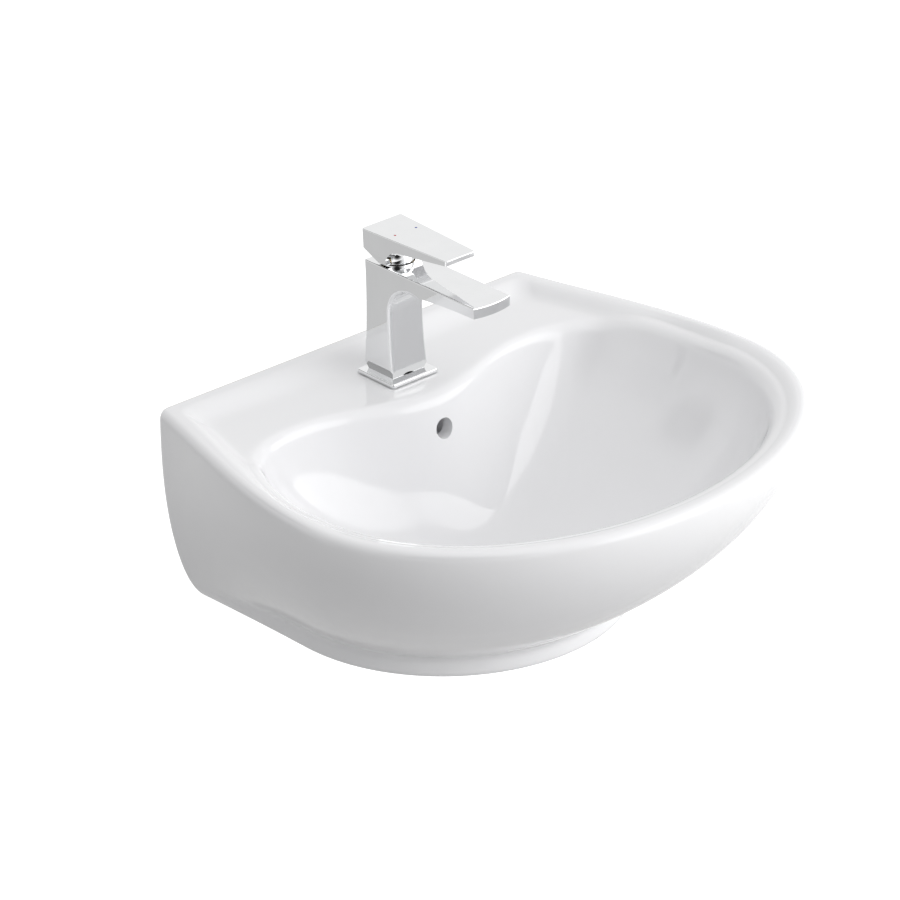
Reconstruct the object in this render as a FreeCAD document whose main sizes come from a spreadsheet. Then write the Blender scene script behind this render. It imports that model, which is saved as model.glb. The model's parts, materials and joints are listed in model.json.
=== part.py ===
"""Wall-hung ceramic basin with a single-lever mixer tap and a click waste.

Millimetres. +Z is up, +Y points into the wall, and the user stands on the -Y side. The origin lies on the wall
plane, midway between the two fixing holes.
"""
import FreeCAD, Part
import math
import os

import Sketcher
from FreeCAD import Vector

SIZES = {
    # Ceramic outline, seen from above
    "rim_width": 500,
    "rim_depth": 417,
    "rim_widest_from_wall": 230,
    "wall_edge_width": 402,
    "foot_width": 316,
    "foot_depth": 279,
    "foot_widest_from_wall": 126,
    "foot_wall_width": 318,
    # Ceramic heights and walls
    "rim_above_fixings": 110,
    "bowl_drop": 167,
    "foot_height": 19,
    "ceramic_wall": 11,
    "back_wall": 12,
    "rim_edge_radius": 7,
    "foot_edge_radius": 4,
    # Deck and bowl
    "crest_inset": 9,
    "crest_corner_radius": 14,
    "deck_drop": 9,
    "deck_ramp": 26,
    "deck_thickness": 13,
    "deck_front_from_wall": 79,
    "deck_bulge": 26,
    "scallop_spacing": 260,
    "opening_side_inset": 20,
    "opening_front_inset": 15,
    "opening_widest_from_wall": 225,
    "shoulder_radius": 14,
    "bowl_depth": 131,
    "bowl_roundness": 1.7,
    # Holes in the ceramic
    "drain_from_wall": 214,
    "bowl_floor_radius": 28,
    "drain_recess_radius": 32.5,
    "drain_recess_depth": 3,
    "drain_hole_radius": 23,
    "drain_boss_radius": 37,
    "drain_boss_thickness": 18,
    "overflow_radius": 8.8,
    "overflow_drop": 39.5,
    "duct_width": 24,
    "duct_depth": 13,
    "duct_wall": 8,
    "duct_mouth_height": 7,
    "tap_hole_radius": 17.5,
    "tap_from_wall": 64.5,
    "fixing_spacing": 280,
    "fixing_hole_radius": 8,
    "service_width": 140,
    "service_height": 96,
    "service_corner_radius": 30,
    # Tap foot
    "seal_thickness": 1,
    "plate_thickness": 3,
    "plate_width": 50.5,
    "plate_depth": 45.2,
    "plate_corner_radius": 2.5,
    "plate_edge_radius": 1.2,
    "plate_hole_radius": 14.5,
    "seal_margin": 1.6,
    "tap_seat_sink": 0.4,
    "tap_seat_play": 0.5,
    # Tap body
    "tap_width": 39.4,
    "top_widening": 0.3,
    "tap_height": 103,
    "pillar_back": 18,
    "pillar_front": 11.8,
    "back_flare": 0.8,
    "front_flare": 4,
    "flare_height": 8,
    "foot_inset": 2.5,
    "back_curve": 1800,
    "side_curve": 1300,
    "pillar_edge_radius": 3.6,
    "back_edge_radius": 1.5,
    "top_edge_radius": 1.2,
    "spout_reach": 116,
    "spout_tip_thickness": 9.5,
    "spout_root_thickness": 15,
    "spout_tip_curve": 70,
    "arch_radius": 25,
    # Cartridge and its bore
    "upper_bore_radius": 15.2,
    "upper_bore_depth": 14,
    "lower_bore_radius": 12.8,
    "lower_bore_depth": 25.5,
    "bore_play": 0.2,
    "cartridge_seal_thickness": 1,
    "cartridge_base_thickness": 3.5,
    "cartridge_chamber_radius": 10.9,
    "cartridge_flange_height": 4.5,
    "cartridge_shoulder": 1.5,
    "cartridge_neck_radius": 10,
    "cartridge_neck_rise": 3,
    "disc_play": 0.3,
    "fixed_disc_thickness": 2.2,
    "moving_disc_thickness": 2.3,
    "moving_disc_radius": 5,
    "carrier_height": 3.8,
    "carrier_socket_radius": 3.6,
    "carrier_floor": 0.8,
    "disc_port_radius": 1.3,
    "disc_port_spacing": 5.8,
    "disc_port_back": 1.6,
    "mixing_radius": 1.8,
    "mixing_depth": 1.2,
    "mixing_forward": 2,
    "rotor_radius": 7.6,
    "rotor_play": 0.06,
    "rotor_flange_radius": 9.5,
    "rotor_flange_height": 1.2,
    "rotor_rise": 4,
    "rotor_axial_play": 0.2,
    "rotor_slot_back": 5,
    "pin_radius": 1.5,
    "pin_play": 0.05,
    "nut_height": 3.3,
    "nut_play": 0.4,
    "nut_slot_width": 3,
    "nut_slot_depth": 1.5,
    # Stem and ball
    "ball_radius": 14.5,
    "ball_wall": 1.6,
    "ball_rise": 3,
    "ball_skirt": 3.8,
    "ball_hole_radius": 6,
    "stem_thickness": 4.6,
    "stem_tip_depth": 4.4,
    "stem_web_depth": 6.4,
    "stem_slot_play": 0.4,
    "stem_head_width": 8,
    "stem_head_rise": 6,
    "stem_head_length": 15.5,
    "stem_tip_gap": 0.6,
    # Lever
    "lever_back": 19.4,
    "lever_front": 76.5,
    "lever_back_width": 43.6,
    "lever_front_width": 32,
    "lever_rise": 27.7,
    "lever_tip_thickness": 4.4,
    "lever_gap": 1.5,
    "lever_heel_height": 10,
    "lever_heel_back": 18.4,
    "lever_sole_back": 3,
    "lever_neck_width": 36.6,
    "lever_neck_height": 11,
    "lever_arch_radius": 16,
    "lever_arch_front": 23.5,
    "lever_corner_radius": 2,
    "lever_tip_radius": 1.5,
    "lever_edge_radius": 0.8,
    "lever_fit": 0.05,
    "grub_radius": 2,
    "grub_length": 7,
    "grub_rise": 5.2,
    "mark_radius": 1.1,
    "mark_depth": 0.4,
    "mark_spacing": 23,
    "mark_forward": 10.5,
    # Aerator
    "aerator_setback": 14,
    "aerator_radius": 9.6,
    "aerator_roof": 2.6,
    "aerator_wall": 1.7,
    "aerator_stand": 0.8,
    "aerator_seal_thickness": 1,
    "aerator_lip": 1.1,
    # Tap fixings
    "inlet_radius": 5,
    "inlet_depth": 12,
    "inlet_spacing": 12.4,
    "inlet_back": 5.5,
    "port_radius": 2.6,
    "port_spacing": 9,
    "port_back": 4,
    "stud_radius": 4,
    "stud_forward": 6.5,
    "stud_engagement": 14,
    "stud_hang": 70,
    "stud_play": 0.3,
    "horseshoe_radius": 23,
    "horseshoe_seal_thickness": 3,
    "horseshoe_plate_thickness": 2.5,
    "horseshoe_gap": 25,
    "stud_nut_width": 13,
    "stud_nut_height": 16,
    # Waste
    "waste_seal_thickness": 1.5,
    "flange_radius": 31.8,
    "flange_thickness": 1.8,
    "flange_lip_radius": 21.5,
    "flange_cone_depth": 2.5,
    "waste_thread_radius": 20.95,
    "waste_wall": 2.35,
    "waste_length": 64,
    "tail_length": 22,
    "relief_length": 2,
    "relief_depth": 0.6,
    "slot_width": 14,
    "slot_height": 8,
    "spider_depth": 20,
    "spider_height": 5,
    "spider_arm": 3,
    "spider_hub_wall": 1.6,
    "bottom_seal_radius": 31,
    "bottom_seal_height": 6,
    "slip_washer_height": 2,
    "slip_washer_radius": 30,
    "lock_nut_width": 54,
    "lock_nut_height": 9,
    "waste_play": 0.35,
    # Plug and click cartridge
    "plug_radius": 29,
    "plug_edge_height": 1.2,
    "plug_crown": 3,
    "plug_gap": 0.7,
    "plug_seal_radius": 20.6,
    "plug_seal_width": 3,
    "plug_seal_height": 1,
    "plug_stem_radius": 5,
    "plug_stem_play": 0.06,
    "plug_stem_length": 34,
    "click_radius": 8.5,
    "click_top_depth": 14,
    "click_guide_length": 6,
    "click_chamber_radius": 7,
    "click_floor": 2,
    "spring_wire_radius": 0.6,
    "spring_radius": 4.6,
    "spring_turns": 5,
    "spring_length": 12,
}

doc = FreeCAD.newDocument("basin")
sheet = doc.addObject("Spreadsheet::Sheet", "Dim")
for row, (alias, value) in enumerate(SIZES.items(), start=1):
    sheet.set(f"A{row}", alias)
    sheet.set(f"B{row}", str(value))
    sheet.setAlias(f"B{row}", alias)
doc.recompute()


def number(expression):
    """The present value of an expression on the sheet."""
    return float(sheet.evalExpression(expression))


# Levels and places that several pieces share, as expressions on the sheet
RIM_Z = "Dim.rim_above_fixings"
DECK_Z = f"({RIM_Z} - Dim.deck_drop)"
TAP_Y = "(-Dim.tap_from_wall)"
WASTE_Y = "(-Dim.drain_from_wall)"
SEAT_Z = f"({RIM_Z} - Dim.bowl_depth - Dim.drain_recess_depth)"

# Levels in the tap, above the deck
FOOT = "(Dim.seal_thickness + Dim.plate_thickness)"
STEP = "(Dim.tap_height - Dim.upper_bore_depth)"
BORE_FLOOR = "(Dim.tap_height - Dim.lower_bore_depth)"
BASE = f"({BORE_FLOOR} + Dim.cartridge_seal_thickness)"
BASE_TOP = f"({BASE} + Dim.cartridge_base_thickness)"
DISC_FACE = f"({BASE_TOP} + Dim.fixed_disc_thickness)"
CARRIER = f"({DISC_FACE} + Dim.moving_disc_thickness)"
CARRIER_TOP = f"({CARRIER} + Dim.carrier_height)"
FLANGE_TOP = f"({STEP} + Dim.cartridge_flange_height)"
CHAMBER_TOP = f"({FLANGE_TOP} - Dim.cartridge_shoulder)"
PIVOT = "(Dim.tap_height + Dim.ball_rise)"
NECK_TOP = f"({PIVOT} + Dim.cartridge_neck_rise)"
LEVER_TOP = "(Dim.tap_height + Dim.lever_rise)"
LEVER_SOLE = "(Dim.tap_height + Dim.lever_gap)"

# Levels in the waste, above the ceramic seat
FLANGE = "Dim.waste_seal_thickness"
LIP = f"({FLANGE} + Dim.flange_thickness)"
PLUG = f"({LIP} + Dim.plug_gap)"
BOSS = "(-Dim.drain_boss_thickness)"
WASHER = f"({BOSS} - Dim.bottom_seal_height)"
LOCK_NUT = f"({WASHER} - Dim.slip_washer_height)"
STEM_END = f"({PLUG} - Dim.plug_stem_length)"
SPRING_FOOT = f"({STEM_END} - Dim.spring_length)"


class Piece:
    """One solid piece: a body whose sketches and features are bound to the sheet."""

    def __init__(self, label, y="0", z="0"):
        self.body = doc.addObject("PartDesign::Body", label)
        self.body.Label = label
        self.body.setExpression("Placement.Base.y", y)
        self.body.setExpression("Placement.Base.z", z)
        self.count = 0

    def name(self, kind):
        self.count += 1
        return f"{self.body.Label}_{kind}_{self.count}"

    def sketch(self, plane, loops, level="0"):
        """A sketch on an origin plane, lifted along its normal, that holds closed loops."""
        drawing = self.body.newObject("Sketcher::SketchObject", self.name("sketch"))
        support = [item for item in self.body.Origin.OriginFeatures if item.Role == plane]
        drawing.AttachmentSupport = [(support[0], "")]
        drawing.MapMode = "FlatFace"
        drawing.setExpression("AttachmentOffset.Base.z", level)
        for loop in loops:
            loop(drawing)
        return drawing

    def feature(self, kind, drawing):
        made = self.body.newObject(f"PartDesign::{kind}", self.name(kind.lower()))
        made.Profile = drawing
        return made

    def pad(self, plane, loops, length, level="0", both=False):
        made = self.feature("Pad", self.sketch(plane, loops, level))
        made.setExpression("Length", length)
        made.SideType = "Symmetric" if both else "One side"
        return made

    def pocket(self, plane, loops, length, level="0", both=False, along=False):
        """A cut of the given length, against the sketch's normal or, with along, in its direction."""
        before = self.volume()
        made = self.feature("Pocket", self.sketch(plane, loops, level))
        made.setExpression("Length", length)
        made.SideType = "Symmetric" if both else "One side"
        made.Reversed = along
        if self.volume() >= before:
            raise RuntimeError(f"{made.Name} cuts nothing")
        return made

    def revolve(self, loops, kind="Revolution"):
        """A full turn of loops drawn as radius and height, added or (as a Groove) cut away."""
        made = self.feature(kind, self.sketch("XZ_Plane", loops))
        made.ReferenceAxis = (made.Profile[0], ["V_Axis"])
        made.Angle = 360
        return made

    def volume(self):
        doc.recompute()
        return self.body.Shape.Volume

    def edges(self, wanted):
        """Names of the edges that a test picks, on the body as it stands."""
        doc.recompute()
        found = enumerate(self.body.Tip.Shape.Edges, start=1)
        return [f"Edge{index}" for index, edge in found if wanted(edge)]

    def round(self, radius, wanted, kind="Fillet"):
        names = self.edges(wanted)
        base = self.body.Tip
        made = self.body.newObject(f"PartDesign::{kind}", self.name(kind.lower()))
        made.Base = (base, names)
        made.setExpression("Size" if kind == "Chamfer" else "Radius", radius)
        return made


def pin_point(drawing, geometry, end, x, y):
    """Holds a point of a sketch at expressions for its two coordinates."""
    for kind, expression in (("DistanceX", x), ("DistanceY", y)):
        place = number(expression)
        index = drawing.addConstraint(Sketcher.Constraint(kind, -1, 1, geometry, end, place))
        drawing.setExpression(f"Constraints[{index}]", expression)


def bow(start, end, radius):
    """An arc between two points. A positive radius bows to the right of the way from start to end."""
    middle = (start + end) * 0.5
    way = end - start
    right = Vector(way.y, -way.x, 0).normalize()
    reach = math.sqrt(max(radius**2 - way.Length**2 / 4, 0))
    return Part.Arc(start, middle + right * math.copysign(abs(radius) - reach, radius), end)


def outline(*corners):
    """A closed loop of corners (x, y), where a third item is the radius of an arc to the next corner."""

    def draw(drawing):
        spots = [Vector(number(corner[0]), number(corner[1]), 0) for corner in corners]
        first = drawing.GeometryCount
        starts = []
        ends = []
        for index, corner in enumerate(corners):
            start = spots[index]
            end = spots[(index + 1) % len(spots)]
            if len(corner) == 2:
                item = drawing.addGeometry(Part.LineSegment(start, end))
                starts.append((item, 1))
                ends.append((item, 2))
                continue
            item = drawing.addGeometry(bow(start, end, number(corner[2])))
            forward = drawing.getPoint(item, 1).distanceToPoint(start) < 1e-6
            starts.append((item, 1 if forward else 2))
            ends.append((item, 2 if forward else 1))
        for index, corner in enumerate(corners):
            following = starts[(index + 1) % len(corners)]
            drawing.addConstraint(Sketcher.Constraint("Coincident", *ends[index], *following))
        for index, corner in enumerate(corners):
            pin_point(drawing, *starts[index], corner[0], corner[1])
            if len(corner) == 3:
                size = abs(number(corner[2]))
                limit = drawing.addConstraint(Sketcher.Constraint("Radius", first + index, size))
                drawing.setExpression(f"Constraints[{limit}]", f"abs({corner[2]})")

    return draw


def disc(radius, x="0", y="0"):
    """A circle."""

    def draw(drawing):
        centre = Vector(number(x), number(y), 0)
        item = drawing.addGeometry(Part.Circle(centre, Vector(0, 0, 1), number(radius)))
        pin_point(drawing, item, 3, x, y)
        limit = drawing.addConstraint(Sketcher.Constraint("Radius", item, number(radius)))
        drawing.setExpression(f"Constraints[{limit}]", radius)

    return draw


def block(x0, y0, x1, y1):
    """A rectangle between two corners."""
    return outline((x0, y0), (x1, y0), (x1, y1), (x0, y1))


def hexagon(width):
    """A hexagon with the given width across its flats."""
    reach = f"({width} / 2 / cos(30 deg))"
    return outline(*[(f"{reach} * cos({turn} deg)", f"{reach} * sin({turn} deg)") for turn in range(0, 360, 60)])


def ring(label, inner, outer, low, high, y, z):
    """A plain turned ring."""
    piece = Piece(label, y, z)
    piece.revolve([block(inner, low, outer, high)])
    return piece


def upright(edge):
    """True for an edge that runs along Z."""
    ends = [vertex.Point for vertex in edge.Vertexes]
    return len(ends) == 2 and math.hypot(ends[0].x - ends[1].x, ends[0].y - ends[1].y) < STRAIGHT


def level_at(height):
    """A test for edges that lie flat at a height."""

    def wanted(edge):
        box = edge.BoundBox
        return abs(box.ZMin - height) < LEVEL and abs(box.ZMax - height) < LEVEL

    return wanted


STRAIGHT = 1e-4
LEVEL = 1e-3
NEAR = 0.01


# Ceramic basin


def mix(start, end, share):
    return start + (end - start) * share


def bowl_share(depth):
    """How far the outside has gone from the rim's outline, 0, to the foot's, 1, at a depth below the rim."""
    return min(depth / number("Dim.bowl_drop"), 1) ** BELLY_POWER


def wall_half_width(depth):
    """Half the width of the back edge at a depth: slow at first, then rounding in at the bottom."""
    reach = depth / number("Dim.bowl_drop + Dim.foot_height")
    fall = number("(Dim.wall_edge_width - Dim.foot_wall_width) / 2")
    return number("Dim.wall_edge_width / 2") - fall * sum(part * reach**power for part, power in WALL_FALL)


def rim_points(depth, inset, back):
    """Points of the basin's outline at a depth, drawn in by an inset, from the wall's right round to its left."""
    share = bowl_share(depth)
    half = mix(number("Dim.rim_width / 2"), number("Dim.foot_width / 2"), share) - inset
    widest = mix(number("Dim.rim_widest_from_wall"), number("Dim.foot_widest_from_wall"), share)
    rim_front = number("Dim.rim_depth - Dim.rim_widest_from_wall")
    foot_front = number("Dim.foot_depth - Dim.foot_widest_from_wall")
    front = mix(rim_front, foot_front, share) - inset
    wall_half = wall_half_width(depth) - inset
    z = number(RIM_Z) - depth
    side = Part.BezierCurve()
    side.setPoles(
        [
            Vector(wall_half, -back, z),
            Vector(mix(wall_half, half, SIDE_SPREAD), mix(-back, -widest, SIDE_START), z),
            Vector(half, mix(-back, -widest, SIDE_END), z),
            Vector(half, -widest, z),
        ]
    )
    right = [side.value(step) for step in SIDE_STEPS]
    for turn in NOSE_TURNS:
        angle = math.radians(turn)
        right.append(Vector(half * math.cos(angle), -widest - front * math.sin(angle), z))
    nose = Vector(0, -widest - front, z)
    return right + [nose] + [Vector(-point.x, point.y, z) for point in reversed(right)]


def pace(points):
    """The distance gone at each of a row of points, so that curves of one family share their joints."""
    gone = [0.0]
    for before, after in zip(points, points[1:]):
        gone.append(gone[-1] + (after - before).Length)
    return gone


def skin(rows, steps, closed):
    """A smooth solid through rows of points that share their steps: closed rows, or rows with a straight back."""
    curves = []
    for row in rows:
        curve = Part.BSplineCurve()
        curve.interpolate(Points=row, PeriodicFlag=closed, Parameters=steps)
        curves.append(curve)
    gone = [0.0]
    for before, after in zip(rows, rows[1:]):
        apart = [(end - start).Length for start, end in zip(before, after)]
        gone.append(gone[-1] + sum(apart) / len(apart))
    columns = []
    for poles in zip(*[curve.getPoles() for curve in curves]):
        column = Part.BSplineCurve()
        column.interpolate(Points=list(poles), Parameters=gone)
        columns.append(column)
    along = curves[0]
    across = columns[0]
    surface = Part.BSplineSurface()
    surface.buildFromPolesMultsKnots(
        [column.getPoles() for column in columns],
        along.getMultiplicities(),
        across.getMultiplicities(),
        along.getKnots(),
        across.getKnots(),
        closed,
        False,
        along.Degree,
        across.Degree,
    )
    start, end, top, bottom = surface.bounds()
    faces = [surface.toShape()]
    for level in (top, bottom):
        ring = [surface.vIso(level).toShape()]
        if not closed:
            ring.append(Part.makeLine(surface.value(end, level), surface.value(start, level)))
        faces.append(Part.Face(Part.Wire(ring)))
    if not closed:
        sides = [surface.uIso(start).toShape(), surface.uIso(end).toShape()]
        ends = [Part.makeLine(surface.value(start, level), surface.value(end, level)) for level in (top, bottom)]
        faces.append(Part.Face(Part.Wire(Part.sortEdges(sides + ends)[0])))
    quilt = Part.makeShell(faces)
    quilt.sewShape()
    solid = Part.makeSolid(quilt)
    if solid.Volume < 0:
        solid.reverse()
    return solid


def stack(levels, back):
    """A smooth solid through the basin's outlines at several (depth, inset), flat at a distance from the wall."""
    behind = back - number("Dim.back_wall") / 2
    steps = pace(rim_points(0, 0, behind))
    solid = skin([rim_points(depth, inset, behind) for depth, inset in levels], steps, False)
    size = number("2 * Dim.rim_width")
    return solid.cut(Part.makeBox(size, size, size, Vector(-size / 2, -back, -size / 2)))


def crest(share):
    """The ridge of the rim on the right-hand half, from the middle of the back, 0, to the nose, 1."""
    inset = number("Dim.crest_inset")
    corner = number("Dim.crest_corner_radius")
    half = number("Dim.rim_width / 2") - inset
    widest = number("Dim.rim_widest_from_wall")
    front = number("Dim.rim_depth") - widest - inset
    wall_half = number("Dim.wall_edge_width / 2") - inset
    if share <= BACK_SHARE:
        return Vector((wall_half - corner) * share / BACK_SHARE, -inset, 0)
    if share <= CORNER_SHARE:
        turn = math.pi / 2 * (share - BACK_SHARE) / (CORNER_SHARE - BACK_SHARE)
        return Vector(wall_half - corner * (1 - math.sin(turn)), -inset - corner * (1 - math.cos(turn)), 0)
    if share <= SIDE_SHARE:
        side = Part.BezierCurve()
        top = -inset - corner
        side.setPoles(
            [
                Vector(wall_half, top, 0),
                Vector(mix(wall_half, half, SIDE_SPREAD), mix(top, -widest, CREST_START), 0),
                Vector(half, mix(top, -widest, CREST_END), 0),
                Vector(half, -widest, 0),
            ]
        )
        return side.value((share - CORNER_SHARE) / (SIDE_SHARE - CORNER_SHARE))
    turn = math.pi / 2 * (share - SIDE_SHARE) / (1 - SIDE_SHARE)
    return Vector(half * math.cos(turn), -widest - front * math.sin(turn), 0)


def opening(share):
    """Where the deck and rim start to roll into the bowl: scalloped at the back, elliptic at the front."""
    scallop = number("Dim.scallop_spacing / 2")
    back = number("-Dim.deck_front_from_wall")
    half = number("Dim.rim_width / 2 - Dim.opening_side_inset")
    widest = number("Dim.opening_widest_from_wall")
    front = number("Dim.rim_depth - Dim.opening_front_inset") - widest
    if share <= BACK_SHARE:
        x = scallop * share / BACK_SHARE
        swell = (1 + math.cos(math.pi * x / scallop)) / 2
        return Vector(x, back - number("Dim.deck_bulge") * swell, 0)
    if share <= SIDE_SHARE:
        turn = math.pi / 2 * (1 - (share - BACK_SHARE) / (SIDE_SHARE - BACK_SHARE))
        power = 2 / CORNER_FULLNESS
        x = mix(scallop, half, max(math.cos(turn), 0) ** power)
        return Vector(x, mix(-widest, back, max(math.sin(turn), 0) ** power), 0)
    turn = math.pi / 2 * (share - SIDE_SHARE) / (1 - SIDE_SHARE)
    return Vector(half * math.cos(turn), -widest - front * math.sin(turn), 0)


BELLY_POWER = 1.9
WALL_FALL = ((0.8, 2.6), (0.2, 14))
SIDE_SPREAD = 0.33
SIDE_START = 0.3
SIDE_END = 0.65
CREST_START = 0.28
CREST_END = 0.62
SIDE_STEPS = (0, 1 / 3, 2 / 3, 1)
NOSE_TURNS = (30, 60)
BACK_SHARE = 0.4
CORNER_SHARE = 0.48
SIDE_SHARE = 0.65
CORNER_FULLNESS = 2.5
HALF_STEPS = 24
ROUNDING_TURNS = (0, 30, 60, 90)
BELLY_SHARES = (0.11, 0.25, 0.43, 0.62, 0.79, 0.91, 0.97, 1)
CAVITY_SHARES = (0, 0.25, 0.5, 0.72, 0.9, 1)
DECK_STEPS = (0, 0.1, 0.22, 0.4, 0.7, 1)
SHOULDER_TURNS = (25, 50, 72)
BOWL_STEPS = (0.05, 0.15, 0.32, 0.55, 0.8, 1)


def drain_edge(share):
    """The point of the bowl's flat floor that faces a point of the opening."""
    middle = Vector(0, number(WASTE_Y), 0)
    way = opening(share) - middle
    return middle + way.normalize() * number("Dim.bowl_floor_radius")


def bowl_line(share):
    """One line of the glazed inside, from the rim's crest over the deck and down the bowl to the drain."""
    rim = number(RIM_Z)
    start = crest(share)
    lip = opening(share)
    drain = drain_edge(share)
    line = []
    for step in DECK_STEPS:
        spot = mix(start, lip, step)
        run = min((spot - start).Length / number("Dim.deck_ramp"), 1)
        line.append(Vector(spot.x, spot.y, rim - number("Dim.deck_drop") * run**2 * (3 - 2 * run)))
    edge = line[-1]
    inward = (drain - lip).normalize()
    radius = number("Dim.shoulder_radius")
    for turn in SHOULDER_TURNS:
        angle = math.radians(turn)
        drop = Vector(0, 0, radius * (1 - math.cos(angle)))
        line.append(edge + inward * radius * math.sin(angle) - drop)
    wall = line[-1]
    floor = rim - number("Dim.bowl_depth")
    roundness = number("Dim.bowl_roundness")
    for step in BOWL_STEPS:
        fall = (1 - (1 - step) ** roundness) ** (1 / roundness)
        spot = mix(wall, drain, step)
        line.append(Vector(spot.x, spot.y, mix(wall.z, floor, fall)))
    return line


def sock(halves):
    """A smooth solid through closed rows of points, given by their right-hand halves."""
    half = pace([opening(step / HALF_STEPS) for step in range(HALF_STEPS + 1)])
    steps = half + [2 * half[-1] - gone for gone in reversed(half[:-1])]
    rows = [row + [Vector(-point.x, point.y, point.z) for point in reversed(row[1:-1])] for row in halves]
    return skin(rows, steps, True)


def bowl_hollow(lines):
    """The space above the glazed inside, as a solid."""
    return sock([[line[row] for line in lines] for row in range(len(lines[0]))])


def bowl_back(lines):
    """The bowl with its wall, as a solid: the glazed inside moved out by the ceramic's thickness."""
    wall = number("Dim.ceramic_wall")
    first = len(DECK_STEPS) + len(SHOULDER_TURNS) - 1
    middle = Vector(0, number(WASTE_Y), 0)
    rows = [[] for _ in range(first, len(lines[0]))]
    for line in lines:
        for row in range(first, len(line)):
            before = line[row - 1]
            after = line[min(row + 1, len(line) - 1)]
            outward = Vector(line[row].x, line[row].y, 0) - middle
            outward = outward.normalize()
            run = math.hypot(after.x - before.x, after.y - before.y)
            fall = before.z - after.z
            slope = math.hypot(run, fall)
            rows[row - first].append(line[row] + outward * wall * fall / slope - Vector(0, 0, wall * run / slope))
    top = number(DECK_Z)
    rows[0] = [Vector(point.x, point.y, top) for point in rows[0]]
    boss = number(f"{SEAT_Z} - Dim.drain_boss_thickness")
    radius = number("Dim.drain_boss_radius")
    rows[-1] = []
    for line in lines:
        outward = (Vector(line[-1].x, line[-1].y, 0) - middle).normalize()
        rows[-1].append(middle + outward * radius + Vector(0, 0, boss))
    return sock(rows)


def slab(points, width):
    """A solid of the given width, centred on the middle plane, from a side view of points (y, z)."""
    corners = [Vector(-width / 2, y, z) for y, z in points]
    face = Part.Face(Part.makePolygon(corners + corners[:1]))
    return face.extrude(Vector(width, 0, 0))


def overflow_duct(lines):
    """The overflow's channel behind the bowl, and the rib of ceramic that holds it."""
    wall = number("Dim.ceramic_wall")
    depth = number("Dim.duct_depth")
    rib = number("Dim.duct_wall")
    mouth = number("Dim.duct_mouth_height")
    first = len(DECK_STEPS) + len(SHOULDER_TURNS)
    back = lines[0]
    inner = []
    outer = []
    cover = []
    for row in range(first, len(back) - 1):
        before = back[row - 1]
        after = back[row + 1]
        way = (after - before).normalize()
        out = Vector(0, -way.z, way.y)
        for line, reach in ((inner, wall), (outer, wall + depth), (cover, wall + depth + rib)):
            spot = back[row] + out * reach
            line.append((spot.y, spot.z))
    boss = number(f"{SEAT_Z} - Dim.drain_boss_thickness")
    low = mix(boss, number(SEAT_Z), 0.5) - mouth / 2
    entry = number(f"{WASTE_Y} + Dim.drain_hole_radius") - rib
    top = number(f"{RIM_Z} - Dim.overflow_drop + Dim.overflow_radius") + rib / 2
    keep = [point for point in inner if point[1] > low + mouth]
    run = [point for point in outer if point[1] > low]
    skin = [point for point in cover if point[1] > boss]
    side = number(f"{WASTE_Y} + Dim.drain_boss_radius")
    roof = number(f"{DECK_Z} - Dim.deck_thickness / 2")
    channel = [(keep[0][0], top)] + keep + [(side, low + mouth), (entry, low + mouth), (entry, low), (side, low)]
    channel += list(reversed(run)) + [(run[0][0], top)]
    cover_points = [(entry, roof), (entry, boss), (side, boss)] + list(reversed(skin)) + [(skin[0][0], roof)]
    width = number("Dim.duct_width")
    return slab(channel, width), slab(cover_points, width + 2 * rib)


def post(radius, length, x, y, z, way):
    return Part.makeCylinder(radius, length, Vector(x, y, z), way)


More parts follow.
